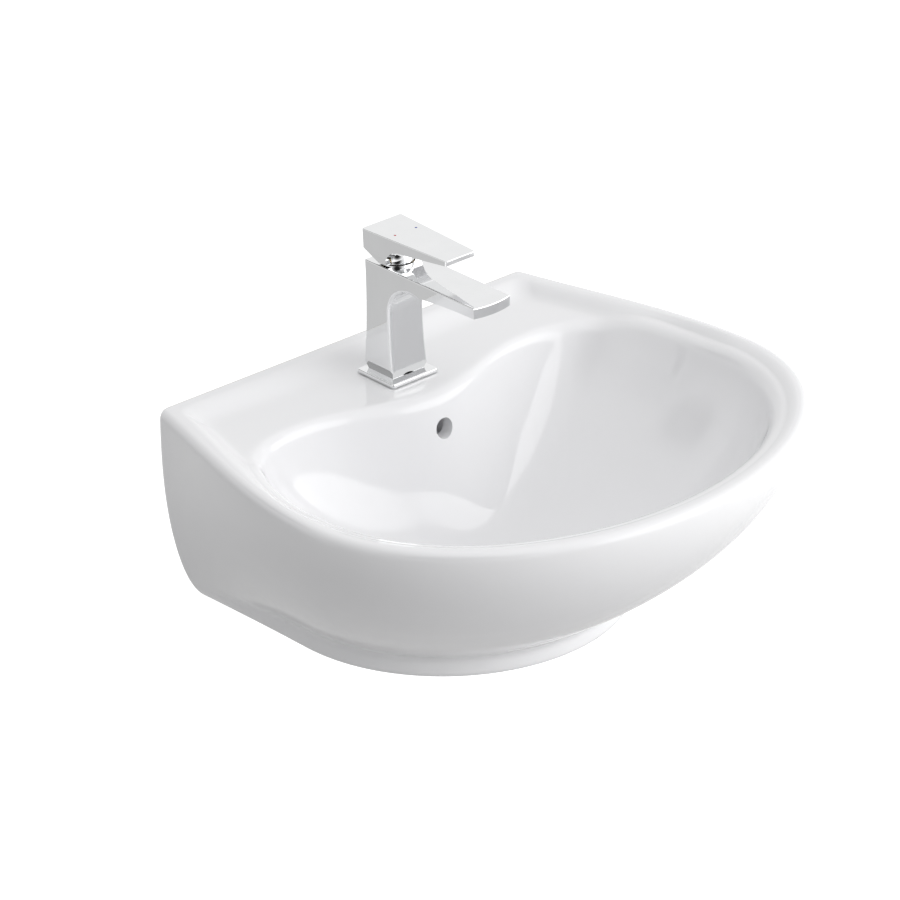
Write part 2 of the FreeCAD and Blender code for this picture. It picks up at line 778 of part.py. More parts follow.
def make_basin():
    """The ceramic: outside, foot, glazed inside, hollow underside and holes."""
    rim = number(RIM_Z)
    drop = number("Dim.bowl_drop")
    total = number("Dim.bowl_drop + Dim.foot_height")
    roll = number("Dim.rim_edge_radius")
    rim_turns = [math.radians(turn) for turn in ROUNDING_TURNS]
    levels = [(roll * (1 - math.cos(turn)), roll * (1 - math.sin(turn))) for turn in rim_turns]
    upper = stack(levels + [(drop * share, 0) for share in BELLY_SHARES], 0)
    roll = number("Dim.foot_edge_radius")
    levels = [(total - roll * (1 - math.sin(turn)), roll * (1 - math.cos(turn))) for turn in rim_turns]
    lower = stack([(drop, 0), (mix(drop, total - roll, 0.5), 0)] + levels, 0)
    shell = upper.fuse(lower)

    lines = [bowl_line(step / HALF_STEPS) for step in range(HALF_STEPS + 1)]
    wall = number("Dim.ceramic_wall")
    back = number("Dim.back_wall")
    roof = number("Dim.deck_drop + Dim.deck_thickness")
    levels = [mix(roof, drop, share) for share in CAVITY_SHARES] + [mix(drop, total, 0.5), total + wall]
    cavity = stack([(depth, wall) for depth in levels], back)
    channel, rib = overflow_duct(lines)
    body = bowl_back(lines)
    shell = shell.cut(cavity.cut(body).cut(rib))
    shell = shell.cut(bowl_hollow(lines))

    drain = number(WASTE_Y)
    seat = number(SEAT_Z)
    down = Vector(0, 0, -1)
    recess = number("Dim.drain_recess_depth")
    shell = shell.cut(post(number("Dim.drain_recess_radius"), 2 * recess, 0, drain, seat + 2 * recess, down))
    boss = number("Dim.drain_boss_thickness")
    shell = shell.cut(post(number("Dim.drain_hole_radius"), 2 * boss, 0, drain, seat + recess, down))
    shell = shell.cut(channel)
    hole_z = rim - number("Dim.overflow_drop")
    hole_y = number("-Dim.deck_front_from_wall - Dim.deck_bulge - Dim.shoulder_radius")
    hole_reach = number("Dim.ceramic_wall + Dim.duct_depth / 2")
    way = Vector(0, -1, 0)
    shell = shell.cut(post(number("Dim.overflow_radius"), 2 * hole_reach, 0, hole_y + hole_reach, hole_z, way))
    deck = number(DECK_Z)
    tap_y = number(TAP_Y)
    shell = shell.cut(post(number("Dim.tap_hole_radius"), 2 * roof, 0, tap_y, deck + roof / 2, down))
    across = number("Dim.plate_width - 2 * Dim.seal_margin + 2 * Dim.tap_seat_play")
    along = number("Dim.plate_depth - 2 * Dim.seal_margin + 2 * Dim.tap_seat_play")
    ground = Vector(-across / 2, tap_y - along / 2, deck - number("Dim.tap_seat_sink"))
    shell = shell.cut(Part.makeBox(across, along, roof, ground))
    for side in (-1, 1):
        x = side * number("Dim.fixing_spacing / 2")
        shell = shell.cut(post(number("Dim.fixing_hole_radius"), 2 * back, x, back / 2, 0, way))
    width = number("Dim.service_width")
    height = number("Dim.service_height")
    corner = number("Dim.service_corner_radius")
    service = Part.makeBox(width, 2 * back, height + corner, Vector(-width / 2, -1.5 * back, rim - total - corner))
    mouth = [edge for edge in service.Edges if abs(edge.BoundBox.ZMin - (rim - total + height)) < 1e-3]
    along = [edge for edge in mouth if edge.BoundBox.YLength > back and edge.BoundBox.ZLength < 1e-3]
    shell = shell.cut(service.makeFillet(corner, along))
    return shell


def basin():
    piece = doc.addObject("Part::Feature", "basin")
    piece.Label = "basin"
    piece.Shape = make_basin()
    return piece


# Tap body and foot


def rounded_plate(label, width, depth, low, thickness):
    """A rectangular plate with rounded corners and the tap's hole, under the tap body."""
    piece = Piece(label, TAP_Y, DECK_Z)
    edge = block(f"-{width} / 2", f"-{depth} / 2", f"{width} / 2", f"{depth} / 2")
    piece.pad("XY_Plane", [edge, disc("Dim.plate_hole_radius")], thickness, low)
    piece.round("Dim.plate_corner_radius", lambda item: upright(item) and abs(item.Vertexes[0].X) > 1)
    return piece


def tap_base_seal():
    width = "(Dim.plate_width - 2 * Dim.seal_margin)"
    depth = "(Dim.plate_depth - 2 * Dim.seal_margin)"
    thickness = "(Dim.seal_thickness + Dim.tap_seat_sink)"
    return rounded_plate("tap_base_seal", width, depth, "(-Dim.tap_seat_sink)", thickness)


def tap_base_plate():
    piece = rounded_plate(
        "tap_base_plate", "Dim.plate_width", "Dim.plate_depth", "Dim.seal_thickness", "Dim.plate_thickness"
    )
    top = level_at(number(FOOT))
    piece.round("Dim.plate_edge_radius", lambda item: top(item) and len(item.Vertexes) == 2)
    return piece


def tap_side_view():
    """Pillar and spout seen from the side, as (y, z): waisted pillar, arch, and thinning spout."""
    back = "(Dim.pillar_back + Dim.back_flare)"
    front = "(Dim.pillar_front + Dim.front_flare)"
    flare = f"({FOOT} + Dim.flare_height)"
    arch = "(Dim.tap_height - Dim.spout_root_thickness)"
    tip = "-(Dim.spout_reach + Dim.foot_inset)"
    knee = "-(Dim.pillar_front + Dim.arch_radius)"
    spring = f"({arch} - Dim.arch_radius)"
    shin = f"((({spring} - {flare})^2 + Dim.front_flare^2) / (2 * Dim.front_flare))"
    thinning = "(Dim.spout_root_thickness - Dim.spout_tip_thickness)"
    sole = f"((({tip} - {knee})^2 + {thinning}^2) / (2 * {thinning}))"
    return outline(
        (f"{back} - Dim.foot_inset", FOOT),
        (back, flare, "-Dim.back_curve"),
        ("Dim.pillar_back", "Dim.tap_height"),
        (tip, "Dim.tap_height"),
        (tip, "Dim.tap_height - Dim.spout_tip_thickness", f"-{sole}"),
        (knee, arch, "-Dim.arch_radius"),
        ("-Dim.pillar_front", spring, f"-{shin}"),
        (f"-{front}", flare),
        (f"Dim.foot_inset - {front}", FOOT),
    )


def beside_tap(side):
    """What is cut away beside the tap, seen from the front, so that its width follows the waist."""
    far = f"({side}) * (Dim.tap_width / 2 + 3 * Dim.foot_inset)"
    narrow = f"({side}) * (Dim.tap_width / 2 - Dim.foot_inset)"
    wide = f"({side}) * Dim.tap_width / 2"
    top = f"({side}) * (Dim.tap_width / 2 + Dim.top_widening)"
    low = f"{FOOT} - Dim.foot_inset"
    high = "Dim.tap_height + Dim.foot_inset"
    return outline(
        (far, low),
        (narrow, low),
        (narrow, FOOT),
        (wide, f"{FOOT} + Dim.flare_height", f"-({side}) * Dim.side_curve"),
        (top, "Dim.tap_height"),
        (top, high),
        (far, high),
    )


def before_tip():
    """What is cut away in front of the spout, seen from above, so that its tip is a gentle curve."""
    wide = "(Dim.tap_width / 2 + Dim.foot_inset)"
    setback = f"-(Dim.spout_reach - Dim.spout_tip_curve + sqrt(Dim.spout_tip_curve^2 - {wide}^2))"
    far = "-(Dim.spout_reach + Dim.aerator_setback)"
    return outline((f"-{wide}", setback, "Dim.spout_tip_curve"), (wide, setback), (wide, far), (f"-{wide}", far))


def tap_body():
    piece = Piece("tap_body", TAP_Y, DECK_Z)
    piece.pad("YZ_Plane", [tap_side_view()], "Dim.tap_width + 4 * Dim.foot_inset", both=True)
    piece.pocket("XZ_Plane", [beside_tap("1"), beside_tap("-1")], "3 * Dim.spout_reach", both=True)
    piece.pocket("XY_Plane", [before_tip()], "2 * Dim.spout_tip_thickness", "Dim.tap_height")
    tall = number("Dim.tap_height") / 3
    piece.round("Dim.pillar_edge_radius", lambda edge: edge.BoundBox.ZLength > tall and edge.BoundBox.YMax < 0)
    piece.round("Dim.back_edge_radius", lambda edge: edge.BoundBox.ZLength > tall and edge.BoundBox.YMin > 0)
    piece.round("Dim.top_edge_radius", level_at(number("Dim.tap_height")))
    piece.pocket("XY_Plane", [disc("Dim.upper_bore_radius")], "Dim.upper_bore_depth", "Dim.tap_height")
    piece.pocket("XY_Plane", [disc("Dim.lower_bore_radius")], "Dim.lower_bore_depth", "Dim.tap_height")
    inlets = [disc("Dim.inlet_radius", f"{side} * Dim.inlet_spacing / 2", "Dim.inlet_back") for side in (-1, 1)]
    piece.pocket("XY_Plane", inlets, "Dim.inlet_depth", FOOT, along=True)
    ways = [disc("Dim.port_radius", f"{side} * Dim.inlet_spacing / 2", "Dim.inlet_back") for side in (-1, 1)]
    piece.pocket("XY_Plane", ways, f"{BORE_FLOOR} - {FOOT}", FOOT, along=True)
    thread = disc("Dim.stud_radius + Dim.bore_play / 4", "0", "-Dim.stud_forward")
    piece.pocket("XY_Plane", [thread], "Dim.stud_engagement", FOOT, along=True)
    below = "(Dim.tap_height - 2 * Dim.spout_root_thickness)"
    recess = disc("Dim.aerator_radius", "0", "Dim.aerator_setback - Dim.spout_reach")
    piece.pocket("XY_Plane", [recess], "2 * Dim.spout_root_thickness - Dim.aerator_roof", below, along=True)
    return piece


# Cartridge


def cartridge_seal():
    piece = Piece("cartridge_seal", TAP_Y, DECK_Z)
    ports = [disc("Dim.port_radius", f"{side} * Dim.port_spacing / 2", "Dim.port_back") for side in (-1, 1)]
    rim = disc("Dim.lower_bore_radius - Dim.bore_play")
    piece.pad("XY_Plane", [rim] + ports, "Dim.cartridge_seal_thickness", BORE_FLOOR)
    return piece


def cartridge_housing():
    piece = Piece("cartridge_housing", TAP_Y, DECK_Z)
    barrel = "Dim.lower_bore_radius - Dim.bore_play"
    flange = "Dim.upper_bore_radius - Dim.bore_play"
    bore = "Dim.rotor_radius + Dim.rotor_play"
    piece.revolve(
        [
            outline(
                ("0", BASE),
                (barrel, BASE),
                (barrel, STEP),
                (flange, STEP),
                (flange, FLANGE_TOP),
                ("Dim.cartridge_neck_radius", FLANGE_TOP),
                ("Dim.cartridge_neck_radius", NECK_TOP),
                (bore, NECK_TOP),
                (bore, CHAMBER_TOP),
                ("Dim.cartridge_chamber_radius", CHAMBER_TOP),
                ("Dim.cartridge_chamber_radius", BASE_TOP),
                ("0", BASE_TOP),
            )
        ]
    )
    ports = [disc("Dim.port_radius", f"{side} * Dim.port_spacing / 2", "Dim.port_back") for side in (-1, 1)]
    piece.pocket("XY_Plane", ports, "Dim.cartridge_base_thickness", BASE, along=True)
    return piece


def fixed_disc():
    piece = Piece("fixed_disc", TAP_Y, DECK_Z)
    holes = [
        disc("Dim.disc_port_radius", f"{side} * Dim.disc_port_spacing / 2", "Dim.disc_port_back") for side in (-1, 1)
    ]
    rim = disc("Dim.cartridge_chamber_radius - Dim.disc_play")
    piece.pad("XY_Plane", [rim] + holes, "Dim.fixed_disc_thickness", BASE_TOP)
    return piece


def moving_disc():
    piece = Piece("moving_disc", TAP_Y, DECK_Z)
    piece.pad("XY_Plane", [disc("Dim.moving_disc_radius")], "Dim.moving_disc_thickness", DISC_FACE)
    recess = disc("Dim.mixing_radius", "0", "-Dim.mixing_forward")
    piece.pocket("XY_Plane", [recess], "Dim.mixing_depth", DISC_FACE, along=True)
    return piece


def disc_carrier():
    piece = Piece("disc_carrier", TAP_Y, DECK_Z)
    piece.pad("XY_Plane", [disc("Dim.moving_disc_radius")], "Dim.carrier_height", CARRIER)
    socket = disc("Dim.carrier_socket_radius")
    piece.pocket("XY_Plane", [socket], "Dim.carrier_height - Dim.carrier_floor", CARRIER_TOP)
    return piece


def cartridge_rotor():
    piece = Piece("cartridge_rotor", TAP_Y, DECK_Z)
    high = f"({CHAMBER_TOP} - Dim.rotor_axial_play)"
    low = f"({high} - Dim.rotor_flange_height)"
    top = f"({PIVOT} + Dim.rotor_rise)"
    piece.revolve(
        [
            outline(
                ("0", low),
                ("Dim.rotor_flange_radius", low),
                ("Dim.rotor_flange_radius", high),
                ("Dim.rotor_radius", high),
                ("Dim.rotor_radius", top),
                ("0", top),
            )
        ]
    )
    half = "(Dim.stem_thickness / 2 + Dim.stem_slot_play)"
    slot = block(f"-{half}", "-2 * Dim.rotor_flange_radius", half, "Dim.rotor_slot_back")
    piece.pocket("XY_Plane", [slot], f"{top} - {low}", low, along=True)
    hole = disc("Dim.pin_radius + Dim.pin_play", "0", PIVOT)
    piece.pocket("YZ_Plane", [hole], "3 * Dim.rotor_radius", both=True)
    return piece


def cartridge_pin():
    piece = Piece("cartridge_pin", TAP_Y, DECK_Z)
    length = "2 * Dim.rotor_radius - 2 * Dim.pin_radius / 3"
    piece.pad("YZ_Plane", [disc("Dim.pin_radius", "0", PIVOT)], length, both=True)
    return piece


def cartridge_stem():
    piece = Piece("cartridge_stem", TAP_Y, DECK_Z)
    low = f"({CARRIER} + Dim.carrier_floor + Dim.stem_tip_gap)"
    head = f"({PIVOT} + Dim.stem_head_rise)"
    waist = f"({PIVOT} - Dim.cartridge_neck_radius)"
    knee = f"({waist} + Dim.stem_web_depth / 2)"
    tip = "Dim.stem_tip_depth / 2"
    web = "Dim.stem_web_depth / 2"
    blade = outline(
        (f"-{tip}", low),
        (tip, low),
        (tip, waist),
        (web, knee),
        (web, head),
        (f"-{web}", head),
        (f"-{web}", knee),
        (f"-{tip}", waist),
    )
    piece.pad("YZ_Plane", [blade], "Dim.stem_thickness", both=True)
    half = "Dim.stem_head_width / 2"
    piece.pad("XY_Plane", [block(f"-{half}", f"-{half}", half, half)], "Dim.stem_head_length", head)
    piece.pocket("YZ_Plane", [disc("Dim.pin_radius + Dim.pin_play", "0", PIVOT)], "2 * Dim.stem_thickness", both=True)
    return piece


def cartridge_nut():
    inner = "Dim.cartridge_neck_radius + Dim.nut_play"
    outer = "Dim.upper_bore_radius - Dim.bore_play"
    top = f"{FLANGE_TOP} + Dim.nut_height"
    piece = ring("cartridge_nut", inner, outer, FLANGE_TOP, top, TAP_Y, DECK_Z)
    half = "Dim.nut_slot_width / 2"
    slot = block("-2 * Dim.upper_bore_radius", f"-{half}", "2 * Dim.upper_bore_radius", half)
    piece.pocket("XY_Plane", [slot], "Dim.nut_slot_depth", top)
    return piece


# Lever


def lever_ball():
    """The hollow ball under the lever that hides the cartridge's neck."""
    piece = Piece("lever_ball", TAP_Y, DECK_Z)
    outer = "Dim.ball_radius"
    inner = "(Dim.ball_radius - Dim.ball_wall)"
    rim = f"({PIVOT} - Dim.ball_skirt)"
    hole = "Dim.ball_hole_radius"
    piece.revolve(
        [
            outline(
                (f"sqrt({outer}^2 - Dim.ball_skirt^2)", rim, outer),
                (hole, f"{PIVOT} + sqrt({outer}^2 - {hole}^2)"),
                (hole, f"{PIVOT} + sqrt({inner}^2 - {hole}^2)", f"-{inner}"),
                (f"sqrt({inner}^2 - Dim.ball_skirt^2)", rim),
            )
        ]
    )
    return piece


def lever_side_view():
    """The lever seen from the side, as (y, z): flat top, heel that leans in, and the arch over the ball."""
    return outline(
        ("Dim.lever_sole_back", LEVER_SOLE),
        ("Dim.lever_heel_back", f"{LEVER_SOLE} + Dim.lever_heel_height"),
        ("Dim.lever_back", LEVER_TOP),
        ("-Dim.lever_front", LEVER_TOP),
        ("-Dim.lever_front", f"{LEVER_TOP} - Dim.lever_tip_thickness"),
        ("-Dim.lever_arch_front", f"{LEVER_SOLE} + Dim.lever_arch_radius", "-Dim.lever_arch_radius"),
        ("Dim.lever_arch_radius - Dim.lever_arch_front", LEVER_SOLE),
    )


def beside_lever(side):
    """What is cut away beside the lever, seen from above, so that it narrows to the front."""
    far = f"({side}) * Dim.lever_back_width"
    wide = f"({side}) * Dim.lever_back_width / 2"
    narrow = f"({side}) * Dim.lever_front_width / 2"
    behind = "2 * Dim.lever_back"
    before = "-(Dim.lever_front + Dim.lever_back)"
    return outline(
        (far, behind),
        (wide, behind),
        (wide, "Dim.lever_back"),
        (narrow, "-Dim.lever_front"),
        (narrow, before),
        (far, before),
    )


def beside_neck(side):
    """What is cut away beside the lever's neck, seen from the front."""
    far = f"({side}) * Dim.lever_back_width"
    wide = f"({side}) * Dim.lever_back_width / 2"
    narrow = f"({side}) * Dim.lever_neck_width / 2"
    top = f"({LEVER_SOLE} + Dim.lever_neck_height)"
    below = "Dim.tap_height"
    return outline((far, below), (narrow, below), (narrow, LEVER_SOLE), (wide, top), (far, top))


def lever():
    piece = Piece("lever", TAP_Y, DECK_Z)
    piece.pad("YZ_Plane", [lever_side_view()], "Dim.lever_back_width + Dim.lever_tip_thickness", both=True)
    piece.pocket("XY_Plane", [beside_lever("1"), beside_lever("-1")], "2 * Dim.lever_rise", LEVER_TOP)
    piece.pocket("XZ_Plane", [beside_neck("1"), beside_neck("-1")], "4 * Dim.lever_back", both=True)
    back = number("Dim.lever_heel_back") - NEAR
    heel = number("Dim.lever_heel_height")
    piece.round("Dim.lever_corner_radius", lambda edge: edge.BoundBox.YMin > back and edge.BoundBox.ZLength > heel)
    front = number("-Dim.lever_front")
    thin = number("Dim.lever_tip_thickness") / 2

    def at_tip(edge):
        return edge.BoundBox.YMax < front + NEAR and edge.BoundBox.ZLength > thin

    piece.round("Dim.lever_tip_radius", at_tip)
    piece.round("Dim.lever_edge_radius", level_at(number(LEVER_TOP)))
    reach = "(Dim.ball_radius + Dim.lever_fit)"
    piece.revolve([outline(("0", f"{PIVOT} - {reach}", reach), ("0", f"{PIVOT} + {reach}"))], "Groove")
    half = "(Dim.stem_head_width / 2 + Dim.lever_fit)"
    socket = block(f"-{half}", f"-{half}", half, half)
    piece.pocket("XY_Plane", [socket], "Dim.stem_head_rise + Dim.stem_head_length + Dim.lever_fit", PIVOT, along=True)
    grub = disc("Dim.grub_radius", "0", f"{LEVER_TOP} - Dim.grub_rise")
    piece.pocket("XZ_Plane", [grub], "2 * Dim.lever_back", "-2 * Dim.lever_back", along=True)
    spots = [disc("Dim.mark_radius", f"{side} * Dim.mark_spacing / 2", "-Dim.mark_forward") for side in (-1, 1)]
    piece.pocket("XY_Plane", spots, "Dim.mark_depth", LEVER_TOP)
    return piece


def lever_grub_screw():
    """The socket screw that clamps the lever on the stem, from behind."""
    piece = Piece("lever_grub_screw", TAP_Y, DECK_Z)
    height = f"{LEVER_TOP} - Dim.grub_rise"
    start = "(Dim.stem_head_width / 2 + Dim.lever_fit)"
    screw = disc("Dim.grub_radius - Dim.lever_fit", "0", height)
    piece.pad("XZ_Plane", [screw], "Dim.grub_length", f"-({start} + Dim.grub_length)")
    return piece


def mark(label, side):
    """A spot of enamel in the lever's top."""
    piece = Piece(label, TAP_Y, DECK_Z)
    spot = disc("Dim.mark_radius - Dim.lever_fit", f"{side} * Dim.mark_spacing / 2", "-Dim.mark_forward")
    piece.pad("XY_Plane", [spot], "Dim.mark_depth", f"{LEVER_TOP} - Dim.mark_depth")
    return piece


# Aerator

AERATOR_Y = f"({TAP_Y} - Dim.spout_reach + Dim.aerator_setback)"
AERATOR_LOW = "(Dim.tap_height - Dim.spout_tip_thickness - Dim.aerator_stand)"
AERATOR_TOP = "(Dim.tap_height - Dim.aerator_roof - Dim.aerator_seal_thickness)"
AERATOR_OUT = "(Dim.aerator_radius - Dim.bore_play)"
AERATOR_IN = f"({AERATOR_OUT} - Dim.aerator_wall)"


def aerator_housing():
    piece = Piece("aerator_housing", AERATOR_Y, DECK_Z)
    ledge = f"{AERATOR_LOW} + Dim.aerator_lip"
    piece.revolve(
        [
            outline(
                (f"{AERATOR_IN} - Dim.aerator_lip", AERATOR_LOW),
                (AERATOR_OUT, AERATOR_LOW),
                (AERATOR_OUT, AERATOR_TOP),
                (AERATOR_IN, AERATOR_TOP),
                (AERATOR_IN, ledge),
                (f"{AERATOR_IN} - Dim.aerator_lip", ledge),
            )
        ]
    )
    return piece


def aerator_insert():
    piece = Piece("aerator_insert", AERATOR_Y, DECK_Z)
    low = f"({AERATOR_LOW} + Dim.aerator_lip)"
    high = f"({AERATOR_TOP} - Dim.aerator_lip / 2)"
    piece.revolve([block("0", low, f"{AERATOR_IN} - Dim.bore_play", high)])
    return piece


def aerator_seal():
    top = f"{AERATOR_TOP} + Dim.aerator_seal_thickness"
    return ring("aerator_seal", f"{AERATOR_IN} - Dim.aerator_lip", AERATOR_OUT, AERATOR_TOP, top, AERATOR_Y, DECK_Z)


# What holds the tap down, under the deck

UNDER = "(-Dim.deck_thickness)"
HORSESHOE = f"({UNDER} - Dim.horseshoe_seal_thickness)"
STUD_NUT = f"({HORSESHOE} - Dim.horseshoe_plate_thickness)"


def fixing_stud():
    piece = Piece("fixing_stud", f"{TAP_Y} - Dim.stud_forward", DECK_Z)
    length = f"Dim.stud_hang + {FOOT} + Dim.stud_engagement"
    piece.pad("XY_Plane", [disc("Dim.stud_radius")], length, "-Dim.stud_hang")
    return piece


def horseshoe(label, low, thickness):
    """A horseshoe that straddles the hoses and hangs on the stud."""
    piece = Piece(label, TAP_Y, DECK_Z)
    hole = disc("Dim.stud_radius + Dim.stud_play", "0", "-Dim.stud_forward")
    piece.pad("XY_Plane", [disc("Dim.horseshoe_radius"), hole], thickness, low)
    half = "Dim.horseshoe_gap / 2"
    piece.pocket("XY_Plane", [block(f"-{half}", "0", half, "2 * Dim.horseshoe_radius")], thickness, low, along=True)
    return piece


def horseshoe_seal():
    return horseshoe("horseshoe_seal", HORSESHOE, "Dim.horseshoe_seal_thickness")


def horseshoe_plate():
    return horseshoe("horseshoe_plate", STUD_NUT, "Dim.horseshoe_plate_thickness")


def fixing_nut():
    piece = Piece("fixing_nut", f"{TAP_Y} - Dim.stud_forward", DECK_Z)
    hole = disc("Dim.stud_radius + Dim.bore_play / 4")
    level = f"{STUD_NUT} - Dim.stud_nut_height"
    piece.pad("XY_Plane", [hexagon("Dim.stud_nut_width"), hole], "Dim.stud_nut_height", level)
    return piece


# Waste

WASTE_BORE = "(Dim.waste_thread_radius - Dim.waste_wall)"


def waste_top_seal():
    inner = "Dim.waste_thread_radius + Dim.waste_play"
    return ring("waste_top_seal", inner, "Dim.flange_radius - Dim.waste_seal_thickness", "0", FLANGE, WASTE_Y, SEAT_Z)


def arm(turn):
    """One arm of the spider that holds the click cartridge in the waste."""
    start = "(Dim.click_radius + Dim.waste_play + Dim.spider_hub_wall / 2)"
    end = "(Dim.waste_thread_radius - Dim.waste_wall / 2)"
    half = "Dim.spider_arm / 2"
    corners = []
    for along, across in ((start, f"-{half}"), (end, f"-{half}"), (end, half), (start, half)):
        x = f"{along} * cos({turn} deg) - ({across}) * sin({turn} deg)"
        y = f"{along} * sin({turn} deg) + ({across}) * cos({turn} deg)"
        corners.append((x, y))
    return outline(*corners)


SPIDER_TURNS = (30, 150, 270)


def waste_body():
    piece = Piece("waste_body", WASTE_Y, SEAT_Z)
    tail = "(Dim.tail_length - Dim.waste_length)"
    relief = "Dim.waste_thread_radius - Dim.relief_depth"
    piece.revolve(
        [
            outline(
                ("Dim.waste_thread_radius", FLANGE),
                ("Dim.flange_radius", FLANGE),
                ("Dim.flange_radius", f"{FLANGE} + Dim.flange_thickness / 2"),
                ("Dim.flange_radius - Dim.flange_thickness", LIP),
                ("Dim.flange_lip_radius", LIP),
                (WASTE_BORE, f"{LIP} - Dim.flange_cone_depth"),
                (WASTE_BORE, "-Dim.waste_length"),
                ("Dim.waste_thread_radius", "-Dim.waste_length"),
                ("Dim.waste_thread_radius", tail),
                (relief, tail),
                (relief, f"{tail} + Dim.relief_length"),
                ("Dim.waste_thread_radius", f"{tail} + Dim.relief_length"),
            )
        ]
    )
    half = "Dim.slot_width / 2"
    low = f"({BOSS} - Dim.slot_height) / 2"
    high = f"({BOSS} + Dim.slot_height) / 2"
    slot = block(f"-{half}", low, half, high)
    piece.pocket("XZ_Plane", [slot], "4 * Dim.waste_thread_radius", both=True)
    level = "-Dim.spider_depth - Dim.spider_height"
    piece.pad("XY_Plane", [arm(turn) for turn in SPIDER_TURNS], "Dim.spider_height", level)
    hub = "Dim.click_radius + Dim.waste_play"
    piece.pad("XY_Plane", [disc(f"{hub} + Dim.spider_hub_wall"), disc(hub)], "Dim.spider_height", level)
    return piece


def waste_bottom_seal():
    piece = Piece("waste_bottom_seal", WASTE_Y, SEAT_Z)
    inner = "Dim.waste_thread_radius + Dim.waste_play"
    piece.revolve(
        [
            outline(
                (inner, WASHER),
                ("Dim.bottom_seal_radius", WASHER),
                ("Dim.bottom_seal_radius", f"{WASHER} + Dim.bottom_seal_height / 3"),
                ("Dim.drain_hole_radius + Dim.bottom_seal_height / 3", BOSS),
                (inner, BOSS),
            )
        ]
    )
    return piece


def waste_slip_washer():
    inner = "Dim.waste_thread_radius + Dim.waste_play"
    return ring("waste_slip_washer", inner, "Dim.slip_washer_radius", LOCK_NUT, WASHER, WASTE_Y, SEAT_Z)


def waste_lock_nut():
    piece = Piece("waste_lock_nut", WASTE_Y, SEAT_Z)
    hole = disc("Dim.waste_thread_radius + Dim.waste_play")
    level = f"{LOCK_NUT} - Dim.lock_nut_height"
    piece.pad("XY_Plane", [hexagon("Dim.lock_nut_width"), hole], "Dim.lock_nut_height", level)
    return piece


# Plug and click cartridge


def plug_cap():
    piece = Piece("plug_cap", WASTE_Y, SEAT_Z)
    edge = "(Dim.plug_radius - Dim.plug_edge_height / 2)"
    crown = f"(({edge}^2 + Dim.plug_crown^2) / (2 * Dim.plug_crown))"
    piece.revolve(
        [
            outline(
                ("0", PLUG),
                (edge, PLUG),
                ("Dim.plug_radius", f"{PLUG} + Dim.plug_edge_height / 2"),
                (edge, f"{PLUG} + Dim.plug_edge_height", crown),
                ("0", f"{PLUG} + Dim.plug_edge_height + Dim.plug_crown"),
            )
        ]
    )
    return piece


def plug_seal():
    inner = "Dim.plug_seal_radius - Dim.plug_seal_width"
    return ring("plug_seal", inner, "Dim.plug_seal_radius", f"{PLUG} - Dim.plug_seal_height", PLUG, WASTE_Y, SEAT_Z)


def plug_stem():
    piece = Piece("plug_stem", WASTE_Y, SEAT_Z)
    piece.pad("XY_Plane", [disc("Dim.plug_stem_radius")], "Dim.plug_stem_length", STEM_END)
    return piece


def click_housing():
    piece = Piece("click_housing", WASTE_Y, SEAT_Z)
    top = "-Dim.click_top_depth"
    guide = "Dim.plug_stem_radius + Dim.plug_stem_play"
    shoulder = f"{top} - Dim.click_guide_length"
    bottom = f"{SPRING_FOOT} - Dim.click_floor"
    piece.revolve(
        [
            outline(
                (guide, top),
                (guide, shoulder),
                ("Dim.click_chamber_radius", shoulder),
                ("Dim.click_chamber_radius", SPRING_FOOT),
                ("0", SPRING_FOOT),
                ("0", bottom),
                ("Dim.click_radius", bottom),
                ("Dim.click_radius", top),
            )
        ]
    )
    return piece


def biarc(start, start_way, end, end_way):
    """Two tangent arcs between two points with given directions."""
    step = end - start
    ways = start_way + end_way
    bend = 2 * (1 - start_way.dot(end_way))
    along = step.dot(ways)
    reach = (math.sqrt(along**2 + bend * step.dot(step)) - along) / bend
    joint = (start + start_way * reach + end - end_way * reach) * 0.5
    return [tangent_arc(start, start_way, joint), tangent_arc(end, end_way * -1, joint)]


def tangent_arc(start, way, end):
    """The arc that leaves a point along a direction and ends at another point."""
    chord = end - start
    across = (chord - way * chord.dot(way)).normalize()
    radius = chord.dot(chord) / (2 * chord.dot(across))
    centre = start + across * radius
    middle = centre + ((start + end) * 0.5 - centre).normalize() * radius
    return Part.Arc(start, middle, end).toShape()


def click_spring():
    """The spring under the plug's stem, as one round wire."""
    wire = number("Dim.spring_wire_radius")
    radius = number("Dim.spring_radius")
    turns = number("Dim.spring_turns")
    rise = number("Dim.spring_length") - 2 * wire
    quarters = int(round(4 * turns))

    def spot(quarter):
        angle = math.pi / 2 * quarter
        return Vector(radius * math.cos(angle), radius * math.sin(angle), wire + rise * quarter / quarters)

    def heading(quarter):
        angle = math.pi / 2 * quarter
        climb = rise / (turns * 2 * math.pi)
        return Vector(-radius * math.sin(angle), radius * math.cos(angle), climb).normalize()

    edges = []
    for quarter in range(quarters):
        edges += biarc(spot(quarter), heading(quarter), spot(quarter + 1), heading(quarter + 1))
    path = Part.Wire(Part.sortEdges(edges)[0])
    section = Part.Wire([Part.makeCircle(wire, spot(0), heading(0))])
    piece = doc.addObject("Part::Feature", "click_spring")
    piece.Label = "click_spring"
    piece.Shape = path.makePipeShell([section], True, False)
    piece.Placement.Base = Vector(0, number(WASTE_Y), number(f"{SEAT_Z} + {SPRING_FOOT}"))
    print("spring: gap between turns", round(rise / turns - 2 * wire, 3))
    return piece


